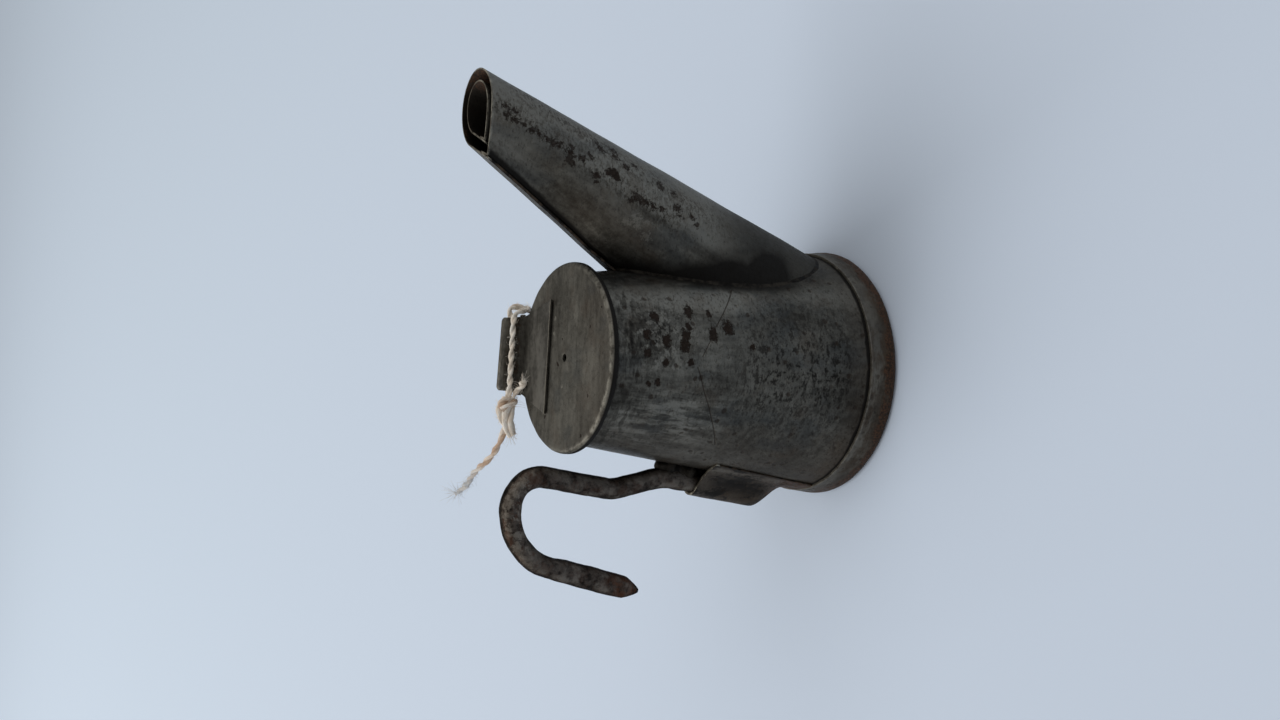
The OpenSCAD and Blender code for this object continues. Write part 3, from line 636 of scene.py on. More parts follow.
def rolledTube(name, mouthRadius, taper, rimZ, finishes, unevenness, aside=(0, 0, 0)):
    ends = []
    for w in sheetTurns:
        turn = w if w < 180 else w - 360
        top = crossing(lambda s: rolledPoint(mouthRadius, taper, s, turn, 0)[2] - rimZ, -20, 30)
        ends.append((turn, w >= 180, top, footOf(mouthRadius, taper, turn) + spout["sink"]))

    def place(column, row):
        turn, far, top, foot = ends[column]
        s = top + (foot - top) * downSteps[row]
        lift = 0.0
        if far and turn > -spout["lapFade"]:
            lift = spout["sheet"] * (1 + turn / spout["lapFade"]) + spout["edgeLift"] * ease(turn, -9, 0)
        point = rolledPoint(mouthRadius, taper, s, turn, lift)
        dent = unevenness * swell(point, 9, 3.1) * ease(s - top, 0, 6) * ease(foot - s, 0, 5)
        return rolledPoint(mouthRadius, taper, s, turn, lift + dent)

    piece = bentSheet(name, len(sheetTurns), len(downSteps), place)

    def core(point):
        s = (Vector(spout["mouth"]) - point).dot(spoutDir)
        return Vector(spout["mouth"]) - s * spoutDir

    faceAwayFrom(piece, core)
    thicken(piece, spout["sheet"], finishes)
    points = piece.data.vertices
    skin = len(sheetTurns) * len(downSteps)
    for i in range(4 * len(sheetTurns)):      # the rim is filed thin and level
        thinned = spout["rimThinned"] * (1 - i // len(sheetTurns) / 4)
        points[i + skin].co = points[i + skin].co.lerp(points[i].co, thinned)
    for i in range(len(sheetTurns)):
        for point in (points[i], points[i + skin]):
            point.co += spoutDir * (rimZ * mm - point.co.z) / spoutDir.z
    for point in points:
        point.co += Vector(aside) * mm
    softenEdges(piece, 0.06)
    smooth(piece)
    return piece


# Finishes of the sheet pieces

def spoutPaint(f):
    down, across = alongSpout(f)
    near = f.between(f.y, 0.0, -4.0)
    patch = f.spots(down, across, spoutPatch) * near
    spots = f.spots(down, across, spoutSpots, 5.0) * near * 0.85
    line = f.blot(across, -0.4, 3.6) * f.between(down, 46.0, 38.0)
    wide = f.blot(across, -5.2, 3.5) * f.between(down, 1.0, 4.0) * f.between(down, 60.0, 40.0)
    rough = f.clouds(1.0, 5.0, 0.78, where=f.stretched((1.0, 1.4, 1.7)))
    pocked = f.between(rough, 0.49, 0.60) * (line * 1.0 + wide * 0.9).least(1.0) * near
    # painted light: the lower part of the spout's near side is paler
    right = f.between(across, 1.5, -3.0)
    brown = f.blot(across, 5.5, 5.0) * f.between(down, 16.0, 26.0) * f.between(down, 44.0, 34.0) * 0.35
    beside = f.reach - (f.z * ((font["topRadius"] - font["baseRadius"]) / font["height"]) + font["baseRadius"])
    # painted shade in the crook where the spout meets the font
    crookShade = f.between(beside + (f.clouds(5.0) - 0.5) * 4.0, 5.4, 0.8) * f.between(f.z, 16.0, 26.0) * 0.96
    olive = f.between(across, 2.0, 6.0) * 0.12
    # painted shade: the spout's lower end, down by the font, darkened on its near side
    foot = f.between(down + (f.clouds(5.0) - 0.5) * 8.0, 44.0, 58.0) * 0.72
    flecks = f.spots(down, across, ((34.1, 3.1, 0.9), (37.4, 4.7, 0.8), (35.0, 4.2, 0.7), (36.0, 2.8, 0.6),
                                    (33.0, 4.4, 0.6), (57.8, -6.4, 0.5)), 7.0) * near
    # a painted shadow line beside the lap's edge
    angle = f.node("Math", {"operation": "ARCTAN2"}, {0: f.y * -1.0, 1: across})
    seam = f.node("MapRange", sockets={0: down, 1: 0.0, 2: spout["seamRun"], 3: math.radians(spout["seamTurn"]),
                                       4: math.radians(9)})
    aside = (angle - seam) * (f.y * f.y + across * across) ** 0.5 + (f.clouds(2.0) - 0.5) * 0.5
    gap = f.between(aside, 1.20, 0.60) * f.between(aside, -0.4, -0.1) * f.between(f.y, -0.2, -1.0)
    strip = f.between(aside, 0.2, -0.1) * f.between(f.clouds(1.6, 5.0, 0.7), 0.42, 0.58)
    upper = f.between(down, 24.0, 2.0)
    return {"lift": right * 1.1 * near + flecks * 1.8 + upper * 0.35 - olive + 0.08, "brown": brown + upper * 0.14 + 0.06,
            "dark": (crookShade + foot * near + strip * f.between(down, -2.0, 30.0, 0.35, 0.7)).most(gap * 0.97).least(0.97),
            "pits": (patch * 1.2 + spots + pocked * 0.68).least(1.0)}


fontTin = tinFinish("fontTin", fontPaint, contrast=1.1, pitting=0.5)
spoutTin = tinFinish("spoutTin", spoutPaint, shift=-0.006, pitting=0.30, lean=spoutRise - math.pi / 2,
                     worn=lambda f: f.between(f.z, 80.0, 80.5) * 0.7)
wickTin = tinFinish("wickTubeTin", plainPaint, shift=-0.03, worn=lambda f: f.between(f.z, 79.8, 80.2) * 0.7)
sootyTin = tinFinish("sootyInside", insidePaint, shift=-0.08)
lidTin = tinFinish("lidTin", lidPaint, shift=-0.012, pitting=0.10, contrast=0.75, gloss=-0.05, drawn=(0.4, 1.4, 1.0),
                   worn=lidWearAndHighlight)
# the cup's lip is bright: a rubbed edge with a painted highlight
cupTin = tinFinish("cupTin", cupPaint, shift=-0.01, pitting=0.35, contrast=1.1, drawn=(0.3, 0.3, 1.6),
                   worn=lambda f: f.between(f.z, 5.55, 5.85) * 0.3)
sleeveTin = tinFinish("sleeveTin", sleevePaint, shift=-0.09, pitting=0.5)
fontEdge = edgeFinish("fontEdge", 58.6)
sleeveEdge = edgeFinish("sleeveEdge", 28.8)
mouthEdge = edgeFinish("mouthEdge", 79.9)


def hingeFinish():
    f = Finish("hingeTin")
    tab = f.between(f.z, 62.3, 62.8)
    behind = f.between(f.y, 18.4, 19.0)
    # a brown, mottled band on the leaf just under the string
    brownUnderString = f.blot(f.z, 61.4, 1.3) * f.between(f.y, 15.4, 17.2) * f.between(f.clouds(1.6, 5.0, 0.7), 0.40, 0.56)
    brown = (tab * 0.30 + behind * 0.5 + brownUnderString).least(1.0)
    tone = f.clouds(5, 6.0, 0.68, where=f.stretched((0.4, 1.4, 1.0))) * 0.65 + f.clouds(1.1, 5.0, 0.72) * 0.35
    colour = f.mix(f.between(tone, 0.38, 0.62), rgb(0.057, 0.054, 0.047), rgb(0.158, 0.151, 0.134))
    grain = f.clouds(0.5, 5.0, 0.7)
    rusty = f.between(brown + (f.clouds(1.6, 5.0, 0.72) - 0.5) * 1.2, 0.3, 0.8)
    colour = f.mix(rusty * 0.85, colour, f.mix(f.between(grain, 0.4, 0.6), tones["deepRust"], tones["brown"]))
    # the roll's top is paler: rubbed wear and a painted highlight
    rubbed = f.clouds(1.3, 5.0, 0.7, where=f.stretched((0.3, 1.0, 1.0)))
    rubbed = f.between(rubbed, 0.44, 0.60) * f.between(f.z, 63.2, 64.1) * 0.6
    edge = f.blot(f.y, 5.8, 0.30) * f.between(f.z, 60.3, 60.42) * 0.8
    colour = f.mix((rubbed + edge).least(1.0), colour, rgb(0.28, 0.255, 0.21))
    # painted shade low at the back of the leaf, by the knuckle
    under = f.between(f.z, 60.0, 59.8) * f.between(f.y, 17.0, 16.5)
    colour = f.mix(under, colour, tones["sootAndShade"])
    return f.done(colour, 0.42 + rusty * 0.16, 0.72 - rusty * 0.4,
                  f.clouds(6, 2.0) * 0.8 + grain * 0.14 + rusty * grain * 0.4, 0.12, specular=0.35, rim=0.5)


def solderFinish():
    f = Finish("solderAndShade")
    # near-black old solder; in the spout's joint it also paints the shade there
    shade = f.between(f.clouds(1.6, 5.0, 0.66), 0.38, 0.64)
    colour = f.mix(shade, rgb(0.007, 0.006, 0.005), rgb(0.036, 0.031, 0.025))
    return f.done(colour, 0.52 + shade * 0.14, 0.5, f.clouds(1.2, 4.0) + f.clouds(4, 2.0) * 2.0, 0.14,
                  specular=0.3, rim=0.3)


def ironFinish():
    f = Finish("rustedIron")
    scale = f.clouds(1.4, 6.0, 0.76)
    patches = f.clouds(3.6, 5.0, 0.66)
    worn = f.between(patches, 0.50, 0.60)
    # paler patches on the arch's top: painted highlight
    top = f.between(f.z, 63.0, 68.0) * f.between(f.clouds(1.6, 5.0, 0.7), 0.46, 0.58)
    tip = f.between(f.z, 52.0, 43.0) * f.between(f.x, -36.0, -41.0)
    colour = f.mix(f.between(scale, 0.38, 0.62), rgb(0.018, 0.014, 0.012), rgb(0.082, 0.066, 0.055))
    colour = f.mix(worn * 0.22 + top * 0.65, colour, rgb(0.225, 0.198, 0.166))
    brown = f.between(f.clouds(2.4, 5.0, 0.72), 0.50, 0.58) * (0.35 + f.between(f.z, 62.0, 66.0) * 0.35)
    colour = f.mix(brown, colour, rgb(0.064, 0.034, 0.023))
    colour = f.mix(tip * f.between(f.clouds(2, 5.0, 0.7), 0.40, 0.56) * 0.85, colour, rgb(0.095, 0.040, 0.022))
    colour = f.mix(f.between(f.clouds(0.9, 4.0, 0.7), 0.56, 0.66) * 0.5, colour, tones["sootAndShade"])
    # painted highlight along the rod's front
    rodCentreHighlight = f.blot(f.y, -1.5, 0.8) * f.between(patches, 0.40, 0.58) * 0.5
    colour = f.mix(rodCentreHighlight, colour, rgb(0.230, 0.205, 0.175))
    # painted shade on the rod's edges, either side of its front
    rodSideShade = f.between(abs(f.y) + (f.clouds(2.0, 4.0) - 0.5) * 0.8, 1.15, 0.35) * 0.75
    colour = f.mix(rodSideShade, colour, tones["sootAndShade"])
    height = scale + patches * 1.2 + f.clouds(0.5, 4.0, 0.7) * 0.35
    return f.done(colour, 0.28 + scale * 0.25 - worn * 0.05, 0.78, height, 0.22, specular=0.3, rim=0.0)


hingeTin = hingeFinish()
solderAndShade = solderFinish()
rustedIron = ironFinish()
print("finishes made")


# Font

def makeFont():
    around, rows = 204, 40
    whole = 360 + font["lap"]

    def place(column, row):
        w = whole * column / (around - 1)
        z = font["foot"] + (font["height"] - font["foot"]) * row / (rows - 1)
        lift = 0.52 * ease(w, whole - font["lap"] - font["lapFade"], whole - font["lap"]) * ease(z, 6, 7)
        dent = 0.14 * swell((math.cos(math.radians(w)) * 20, math.sin(math.radians(w)) * 20, z), 13, 5.5)
        reach = fontRadius(z) + lift + dent * ease(z, 7, 14) * ease(59 - z, 0, 3)
        angle = math.radians(font["seamAngle"] - font["lap"] / 2 + w)
        return reach * math.cos(angle), reach * math.sin(angle), z

    piece = bentSheet("font", around, rows, place)
    faceAwayFrom(piece, lambda point: (0, 0, point.z))
    thicken(piece, font["sheet"], (fontTin, sootyTin, fontEdge))
    holeS = crossing(lambda s: spout["mouth"][0] - s * spoutDir.x - fontRadius(spout["mouth"][2] - s * spoutDir.z), 10, 100)
    holes = ((Vector(spout["mouth"]) - holeS * spoutDir, math.pi / 2 - spoutRise, font["wickHole"], 24),
             (Vector((24, 0, bandTop + font["dripHole"])), math.pi / 2, font["dripHole"], 12))
    for centre, tilt, width, depth in holes:
        bpy.ops.mesh.primitive_cylinder_add(vertices=48, radius=width / 2 * mm, depth=depth * mm,
                                            location=centre * mm, rotation=(0, tilt, 0))
        cutter = bpy.context.object
        applyModifier(piece, "BOOLEAN", object=cutter, operation="DIFFERENCE", solver="EXACT")
        bpy.data.objects.remove(cutter)
    softenEdges(piece, 0.06)
    smooth(piece)
    hold(piece, "lamp", "tin_dark", "font_shell")


makeFont()


# Base cup

cup = {"sheet": 0.5, "corner": 1.3, "lip": 0.10, "steps": 192}


def makeCup():
    sheet, corner = cup["sheet"], cup["corner"]
    centre = fontRadius(corner) + sheet - corner
    bottom = [(0, 0), (8, 0), (16, 0), (22, 0)]
    arc = [(centre + corner * math.sin(a), corner - corner * math.cos(a))
           for a in (math.radians(82 * i / 7) for i in range(8))]
    wall = [(fontRadius(z) + sheet, z) for z in (1.9, 2.6, 3.4, 4.2, 5.0)]
    lip = [(fontRadius(5.5) + sheet + cup["lip"] * 0.6, 5.5), (fontRadius(5.8) + sheet + cup["lip"], 5.8),
           (fontRadius(6) + sheet + cup["lip"] * 0.7, 5.96), (fontRadius(6) + sheet * 0.5, 6.0),
           (fontRadius(6) + 0.06, 5.93)]
    inside = [(fontRadius(5), 5), (fontRadius(1), 1), (fontRadius(sheet), sheet), (16, sheet), (8, sheet), (0, sheet)]
    piece = turned("baseCup", bottom + arc + wall + lip + inside, cup["steps"])

    def unevenness(point):
        out = Vector((point.x, point.y, 0))
        if point.z < 0.3 or out.length < 23:
            return 0, 0, 0
        lumps = 0.10 * swell(point, 7, 2.2) + 0.05 * swell(point, 2.5, 8.0) - 0.06
        return (*(out.normalized() * lumps).xy, 0.16 * swell(point, 5, 4.0) * ease(point.z, 5, 6))

    nudge(piece, unevenness)
    piece.data.materials.append(cupTin)
    smooth(piece, 50)
    hold(piece, "lamp", "tin", "base_cup")


makeCup()


# Spout and wick tube

outerSpout = rolledTube("spout", spout["mouthRadius"], spout["taper"], spout["mouth"][2],
                        (spoutTin, sootyTin, mouthEdge), 0.16)
hold(outerSpout, "lamp", "tin", "outer_spout")
innerTube = rolledTube("wickTube", wick["mouthRadius"], wick["taper"], spout["mouth"][2] - wick["drop"],
                       (wickTin, sootyTin, mouthEdge), 0.10, wick["aside"])
hold(innerTube, "lamp", "tin_dark", "wick_tube")


# Solder round the spout's foot

bead = {"width": 0.95, "fill": 0.15, "around": 180, "across": 14, "sunk": 0.10}


def makeSpoutSolder():
    bpy.ops.mesh.primitive_torus_add(major_segments=bead["around"], minor_segments=bead["across"],
                                     major_radius=0.02, minor_radius=0.004)
    piece = bpy.context.object
    piece.name = "spoutSolder"
    for i, vertex in enumerate(piece.data.vertices):
        major, minor = divmod(i, bead["across"])
        turn = 360 * major / bead["around"] - 180
        foot = footOf(spout["mouthRadius"], spout["taper"], turn)
        joint = rolledPoint(spout["mouthRadius"], spout["taper"], foot, turn, 0)
        width = bead["width"] * (1 + 0.45 * swell(joint, 3.5, 6.0))
        angle = math.radians(seamAt(foot) + turn)
        awayFromSpout = math.cos(angle) * spoutUp + math.sin(angle) * spoutSide
        flat = Vector((joint.x, joint.y, 0)).normalized()
        awayFromFont = Vector((flat.x, flat.y, math.tan(wallLean))).normalized()
        onSpout = rolledPoint(spout["mouthRadius"], spout["taper"], foot - width, turn, -bead["sunk"])
        down = (awayFromSpout - awayFromSpout.dot(awayFromFont) * awayFromFont).normalized()
        onFont = joint + width * down
        level = max(onFont.z, bandTop + 0.1)
        side = Vector((onFont.x, onFont.y, 0)).normalized() * (fontRadius(level) - bead["sunk"])
        onFont = Vector((side.x, side.y, level))
        half = bead["across"] // 2
        if minor <= half:
            t = minor / half
            bow = 0.25 + bead["fill"]
            middle = joint + bow * (onSpout + onFont - 2 * joint) / 2 + 0.12 * swell(joint, 1.6, 9.0) * awayFromFont
            place = onSpout * (1 - t) ** 2 + middle * 2 * t * (1 - t) + onFont * t * t
        else:
            t = (minor - half) / (bead["across"] - half)
            core = joint - 0.2 * (awayFromFont + awayFromSpout)
            place = onFont * (1 - t) ** 2 + core * 2 * t * (1 - t) + onSpout * t * t
        vertex.co = place * mm
    inEditMode(piece, mergeDoubles, turnOutward)
    piece.data.materials.append(solderAndShade)
    smooth(piece, 60)
    hold(piece, "lamp", "solder", "spout_solder")


makeSpoutSolder()


# Hook: corners of the rod's centre line as (distance to -X, height, bend radius)

rod = {"radius": 2.05, "clear": 0.8, "footZ": 16.0, "neckZ": 36.6, "jogZ": 48.0, "topZ": 69.1,
       "tip": (44.2, 40.8), "lean": 13.9, "tipLength": 3.4, "flat": 0.10, "hammered": 0.15, "slim": 0.985}


def rodX(z):
    return fontRadius(z) + rod["radius"] + rod["clear"]


def hookPath():
    lean = math.radians(rod["lean"])
    jogX = fontRadius(rod["jogZ"]) + 7.1
    corners = [(rodX(rod["footZ"]), rod["footZ"], 0), (rodX(rod["neckZ"]), rod["neckZ"], 9), (jogX, rod["jogZ"], 10),
               (jogX - (rod["topZ"] - rod["jogZ"]) * math.tan(math.radians(8.6)), rod["topZ"], 5.9),
               (rod["tip"][0] - (rod["topZ"] - rod["tip"][1]) * math.tan(lean), rod["topZ"], 11.2), (*rod["tip"], 0)]
    stops = [Vector(c[:2]) for c in corners]
    points = [stops[0]]
    for before, here, after, corner in zip(stops, stops[1:], stops[2:], corners[1:]):
        d, e = (here - before).normalized(), (after - here).normalized()
        bend = d.angle(e)
        side = 1 if d.x * e.y - d.y * e.x > 0 else -1
        start = here - d * corner[2] * math.tan(bend / 2)
        centre = start + side * corner[2] * Vector((-d.y, d.x))
        slope = math.atan2(d.y, d.x)
        for j in range(15):
            a = slope + side * bend * j / 14
            points.append(centre + side * corner[2] * Vector((math.sin(a), -math.cos(a))))
    points.append(stops[-1])
    fine = []
    for a, b in zip(points, points[1:]):
        count = max(1, round((b - a).length / 0.55))
        fine += [a.lerp(b, i / count) for i in range(count)]
    fine.append(points[-1])
    return [Vector((-p.x, 0, p.y)) for p in fine]


def makeHook():
    path = hookPath()
    whole = routeLength(path)
    gone = [0.0]
    for p, q in zip(path, path[1:]):
        gone.append(gone[-1] + (q - p).length)
    legStart = whole - 22

    def radius(step, angle):
        left = whole - gone[step]
        flatness = rod["flat"] * ease(gone[step], legStart, legStart + 8)
        reach = rod["radius"] * rod["slim"] * (1 + flatness * math.cos(2 * angle))
        point = path[step] + Vector((0, math.sin(angle), math.cos(angle))) * 2
        reach += rod["hammered"] * swell(point, 3.6, 1.3) + 0.06 * swell(point, 1.2, 7.7)
        if left < rod["tipLength"]:
            reach *= 0.20 + 0.80 * (left / rod["tipLength"]) ** 0.85
        return reach

    piece = tubeAlong("hookRod", path, 40, radius, (1, 0, 0))
    piece.data.materials.append(rustedIron)
    smooth(piece, 60)
    hold(piece, "lamp", "iron", "hook")


makeHook()


# Sleeve that holds the rod's foot

sleeve = {"top": 30.4, "halfWidth": 8.0, "sheet": 0.5, "pocketFoot": 9.0, "wrapTurn": 60, "edgeSlope": 23,
          "foot": 6.05, "valley": 0.6}


def sleeveHalf(z, outer):
    wall = fontRadius(z)
    turn, slope = math.radians(sleeve["wrapTurn"]), math.radians(sleeve["edgeSlope"])
    centre = wall + rod["radius"] + rod["clear"]
    edge = Vector((sleeve["halfWidth"], math.sqrt(wall ** 2 - sleeve["halfWidth"] ** 2) + 0.4))
    start = Vector((outer * math.sin(turn), centre + outer * math.cos(turn)))
    kneeX = ((start.y + start.x * math.tan(turn) - edge.y - edge.x * math.tan(slope))
             / (math.tan(turn) - math.tan(slope)))
    knee = Vector((kneeX, edge.y + (edge.x - kneeX) * math.tan(slope)))
    half = [Vector((outer * math.sin(turn * i / 9), centre + outer * math.cos(turn * i / 9))) for i in range(9)]
    half += [start * (1 - t) ** 2 + knee * 2 * t * (1 - t) + edge * t * t for t in (i / 12 for i in range(13))]
    k = ease(z, sleeve["pocketFoot"], rod["footZ"])
    shaped = []
    for p in half:
        flat = math.sqrt(wall ** 2 - p.x ** 2) + 0.4
        reach = k * p.y + (1 - k) * flat
        press = math.exp(-((p.x - 4.3) / 1.2) ** 2 - ((z - 21) / 6.0) ** 2)
        shaped.append(Vector((p.x, reach - sleeve["valley"] * press)))
    return shaped


def makeSleeve():
    outer = rod["radius"] + 0.05 + sleeve["sheet"]
    half = sleeveHalf(sleeve["top"], outer)
    count = len(half)
    rows = 44
    outermost = fontRadius(sleeve["top"]) + rod["clear"] + rod["radius"] + outer

    def place(column, row):
        k = abs(column - (count - 1))
        side = -1 if column < count - 1 else 1
        top = sleeve["top"] - math.tan(wallLean) * (outermost - half[k].y)
        z = sleeve["foot"] + (top - sleeve["foot"]) * row / (rows - 1)
        point = sleeveHalf(z, outer)[k]
        lump = 0.10 * swell((point.x * side, point.y, z), 4, 3.3) * ease(point.y - fontRadius(z), 0.6, 2)
        return -(point.y + lump), side * point.x, z

    piece = bentSheet("hookSleeve", 2 * count - 1, rows, place)
    faceAwayFrom(piece, lambda point: (-fontRadius(point.z) + 3, 0, point.z))
    thicken(piece, sleeve["sheet"], (sleeveTin, sootyTin, sleeveEdge))
    softenEdges(piece, 0.08)
    smooth(piece)
    hold(piece, "lamp", "tin", "hook_sleeve")


makeSleeve()


# Solder between the rod and the font: lumps fused by a remesh

solder = {"lumps": ((29.0, 1.6, 0.3), (31.2, 2.0, -0.4), (33.4, 1.8, 0.5), (35.4, 1.7, -0.3), (37.0, 1.4, 0.1)),
          "voxel": 0.28}


def makeHookSolder():
    lumps = []
    for z, radius, shift in solder["lumps"]:
        deselectAll()
        bpy.ops.mesh.primitive_uv_sphere_add(segments=32, ring_count=16, radius=radius * mm,
                                             location=Vector((-fontRadius(z) - 0.75, shift, z)) * mm)
        lumps.append(bpy.context.object)
    piece = join(lumps, "hookSolder")
    bpy.ops.object.transform_apply(location=True, rotation=True, scale=True)
    applyModifier(piece, "REMESH", mode="VOXEL", voxel_size=solder["voxel"] * mm)
    applyModifier(piece, "SMOOTH", factor=0.5, iterations=6)
    nudge(piece, lambda point: Vector((0.22, 0.22, 0.22)) * swell(point, 1.5, 4.4))
    piece.data.materials.append(solderAndShade)
    smooth(piece, 80)
    hold(piece, "lamp", "solder", "hook_solder")


makeHookSolder()


# Hinge: the strap on the font, the leaf on the lid and the pin

hinge = {"pin": (19.6, 59.15), "pinRadius": 0.6, "knuckle": 1.1, "leaf": 0.45, "lidTop": 59.8, "tabWidth": 14.4,
         "tongue": 6.6, "gap": 0.25, "strapFoot": 41.0, "strapFootWidth": 9.0, "strapBend": 51.0,
         "webFront": 17.967, "rollZ": 63.45, "rollRadius": 0.9, "frontY": 5.8, "frontWidth": 21.8, "frontLift": 0.14,
         "endRound": 0.9, "pinLength": 16.0}


def curl(centre, radius, start, end, steps):
    # points (y, z) on an arc, angles in degrees from +Y towards +Z
    angles = [math.radians(start + (end - start) * i / steps) for i in range(steps + 1)]
    return [(centre[0] + radius * math.cos(a), centre[1] + radius * math.sin(a)) for a in angles]


def sheetColumns(half, notch, coarse):
    # places across a leaf, with lines just at the sides of its notch
    outer = [notch + (half - notch) * i / coarse for i in range(coarse + 1)]
    inner = [notch * i / 6 for i in range(6)]
    right = inner + outer
    return [-x for x in reversed(right[1:])] + right


def makeStrap():
    notch = hinge["tongue"] / 2 + hinge["gap"]
    columns = sheetColumns(1.0, notch / (hinge["tabWidth"] / 2), 7)
    pinY, pinZ = hinge["pin"]
    back = pinY - hinge["knuckle"]
    low, bend = hinge["strapFoot"], hinge["strapBend"]
    heights = [low + (pinZ - low) * i / 30 for i in range(30)]
    roll = curl(hinge["pin"], hinge["knuckle"], 180, -148, 34)

    def place(column, row):
        share = columns[column]
        if row >= len(heights):
            y, z = roll[row - len(heights)]
            return share * hinge["tabWidth"] / 2, y, z
        z = heights[row]
        wide = hinge["strapFootWidth"] + (hinge["tabWidth"] - hinge["strapFootWidth"]) * min(1, (z - low) / 15)
        x = share * wide / 2
        k = min(1, max(0, (z - bend) / (pinZ - bend)))
        around = fontRadius(min(z, bend))
        flat = fontRadius(bend) + k * (back - fontRadius(bend))
        return x, (1 - k) * math.sqrt(around ** 2 - x * x) + k * flat, z

    piece = bentSheet("hingeStrap", len(columns), len(heights) + len(roll), place)
    earFoot = pinZ - hinge["knuckle"] - hinge["gap"]

    def betweenEars(face):
        c = face.center / mm
        return abs(c.x) < notch and (c.z > earFoot or c.y > pinY - 0.6)

    cutAway(piece, betweenEars)
    faceAwayFrom(piece, lambda c: (c.x, *hinge["pin"]) if c.z > 57 else (c.x, 40, c.z))
    thicken(piece, hinge["leaf"], (hingeTin, hingeTin, hingeTin))
    softenEdges(piece, 0.05)
    smooth(piece)
    hold(piece, "lamp", "tin", "body_hinge_leaf")


def makeLidLeaf():
    notch = hinge["tongue"] / 2 + hinge["gap"]
    top = hinge["lidTop"] + hinge["leaf"]
    front, web = hinge["frontY"], hinge["webFront"]
    bendRadius = 2.3
    plate = [(front + (web - bendRadius - front) * i / 20, top) for i in range(21)]
    corner = curl((web - bendRadius, top + bendRadius), bendRadius, -90, 0, 10)[1:]
    rollCentre = (web + hinge["rollRadius"], hinge["rollZ"])
    rise = [(web, top + bendRadius + (hinge["rollZ"] - top - bendRadius) * i / 8) for i in range(1, 9)]
    roll = curl(rollCentre, hinge["rollRadius"], 180, -130, 26)[1:]
    line = plate + corner + rise + roll
    shares = sheetColumns(1.0, notch / (hinge["tabWidth"] / 2), 16)

    def place(column, row):
        y, z = line[row]
        narrow = hinge["tabWidth"] / 2
        if row < len(plate):
            t = (y - front) / (web - bendRadius - front)
            narrow = hinge["frontWidth"] / 2 + (hinge["tabWidth"] / 2 + 0.6 - hinge["frontWidth"] / 2) * min(1, t)
            z += hinge["frontLift"] * (1 - t) ** 2 + 0.05 * swell((column * 0.4, y, 3), 4, 2.0)
        elif row < len(plate) + len(corner):
            narrow += 0.6 * (1 - (row - len(plate) + 1) / len(corner))
        x = shares[column] * narrow
        if row >= len(line) - len(roll):
            # the roll's ends are hammered round
            toEnd = max(0, 1 - (1 - abs(shares[column])) * hinge["tabWidth"] / 2 / hinge["endRound"])
            shrunk = math.sqrt(1 - 0.8 * toEnd ** 2)
            y, z = (rollCentre[i] + (value - rollCentre[i]) * shrunk for i, value in enumerate((y, z)))
        if row >= len(plate) + len(corner):
            z += -0.035 * (x + hinge["tabWidth"] / 2) * ease(row, len(plate), len(line))   # the tab droops to one side
        return x, y, z

    leaf = bentSheet("lidLeaf", len(shares), len(line), place)
    faceAwayFrom(leaf, lambda c: (c.x, *rollCentre) if c.z > hinge["rollZ"] - 0.3 else (c.x, c.y + 3, c.z - 3))
    thicken(leaf, hinge["leaf"] * 0.95, (hingeTin, hingeTin, hingeTin))
    tongueStart = web - 1.1
    tongueLine = [(tongueStart + (hinge["pin"][0] - tongueStart) * i / 6, top) for i in range(7)]
    tongueLine += curl(hinge["pin"], hinge["knuckle"], 90, -230, 30)[1:]
    half = hinge["tongue"] / 2
    tongue = bentSheet("tongue", 13, len(tongueLine), lambda column, row: (-half + half * column / 6, *tongueLine[row]))
    faceAwayFrom(tongue, lambda c: (c.x, hinge["pin"][0] if c.y > hinge["pin"][0] - 1.2 else c.y, hinge["pin"][1]))
    thicken(tongue, hinge["leaf"], (hingeTin, hingeTin, hingeTin))
    piece = join([leaf, tongue], "lidLeaf")
    softenEdges(piece, 0.05)
    smooth(piece)
    hold(piece, "lid", "tin", "lid_hinge_leaf")


def makePin():
    y, z = hinge["pin"]
    half = hinge["pinLength"] / 2
    path = [Vector((-half + hinge["pinLength"] * i / 60, y, z)) for i in range(61)]

    def radius(step, angle):
        end = min(step, 60 - step)
        return hinge["pinRadius"] * (0.72 if end == 0 else 1.0) + 0.01 * math.sin(3 * angle)

    piece = tubeAlong("hingePin", path, 24, radius, (0, 0, 1))
    piece.data.materials.append(rustedIron)
    smooth(piece, 50)
    hold(piece, "lamp", "iron", "hinge_pin")


makeStrap()
makeLidLeaf()
makePin()


# Lid

lid = {"radius": 18.0, "top": 59.8, "sheet": 0.5, "rim": 1.4, "bevel": 0.75, "vent": 0.75, "steps": 180}


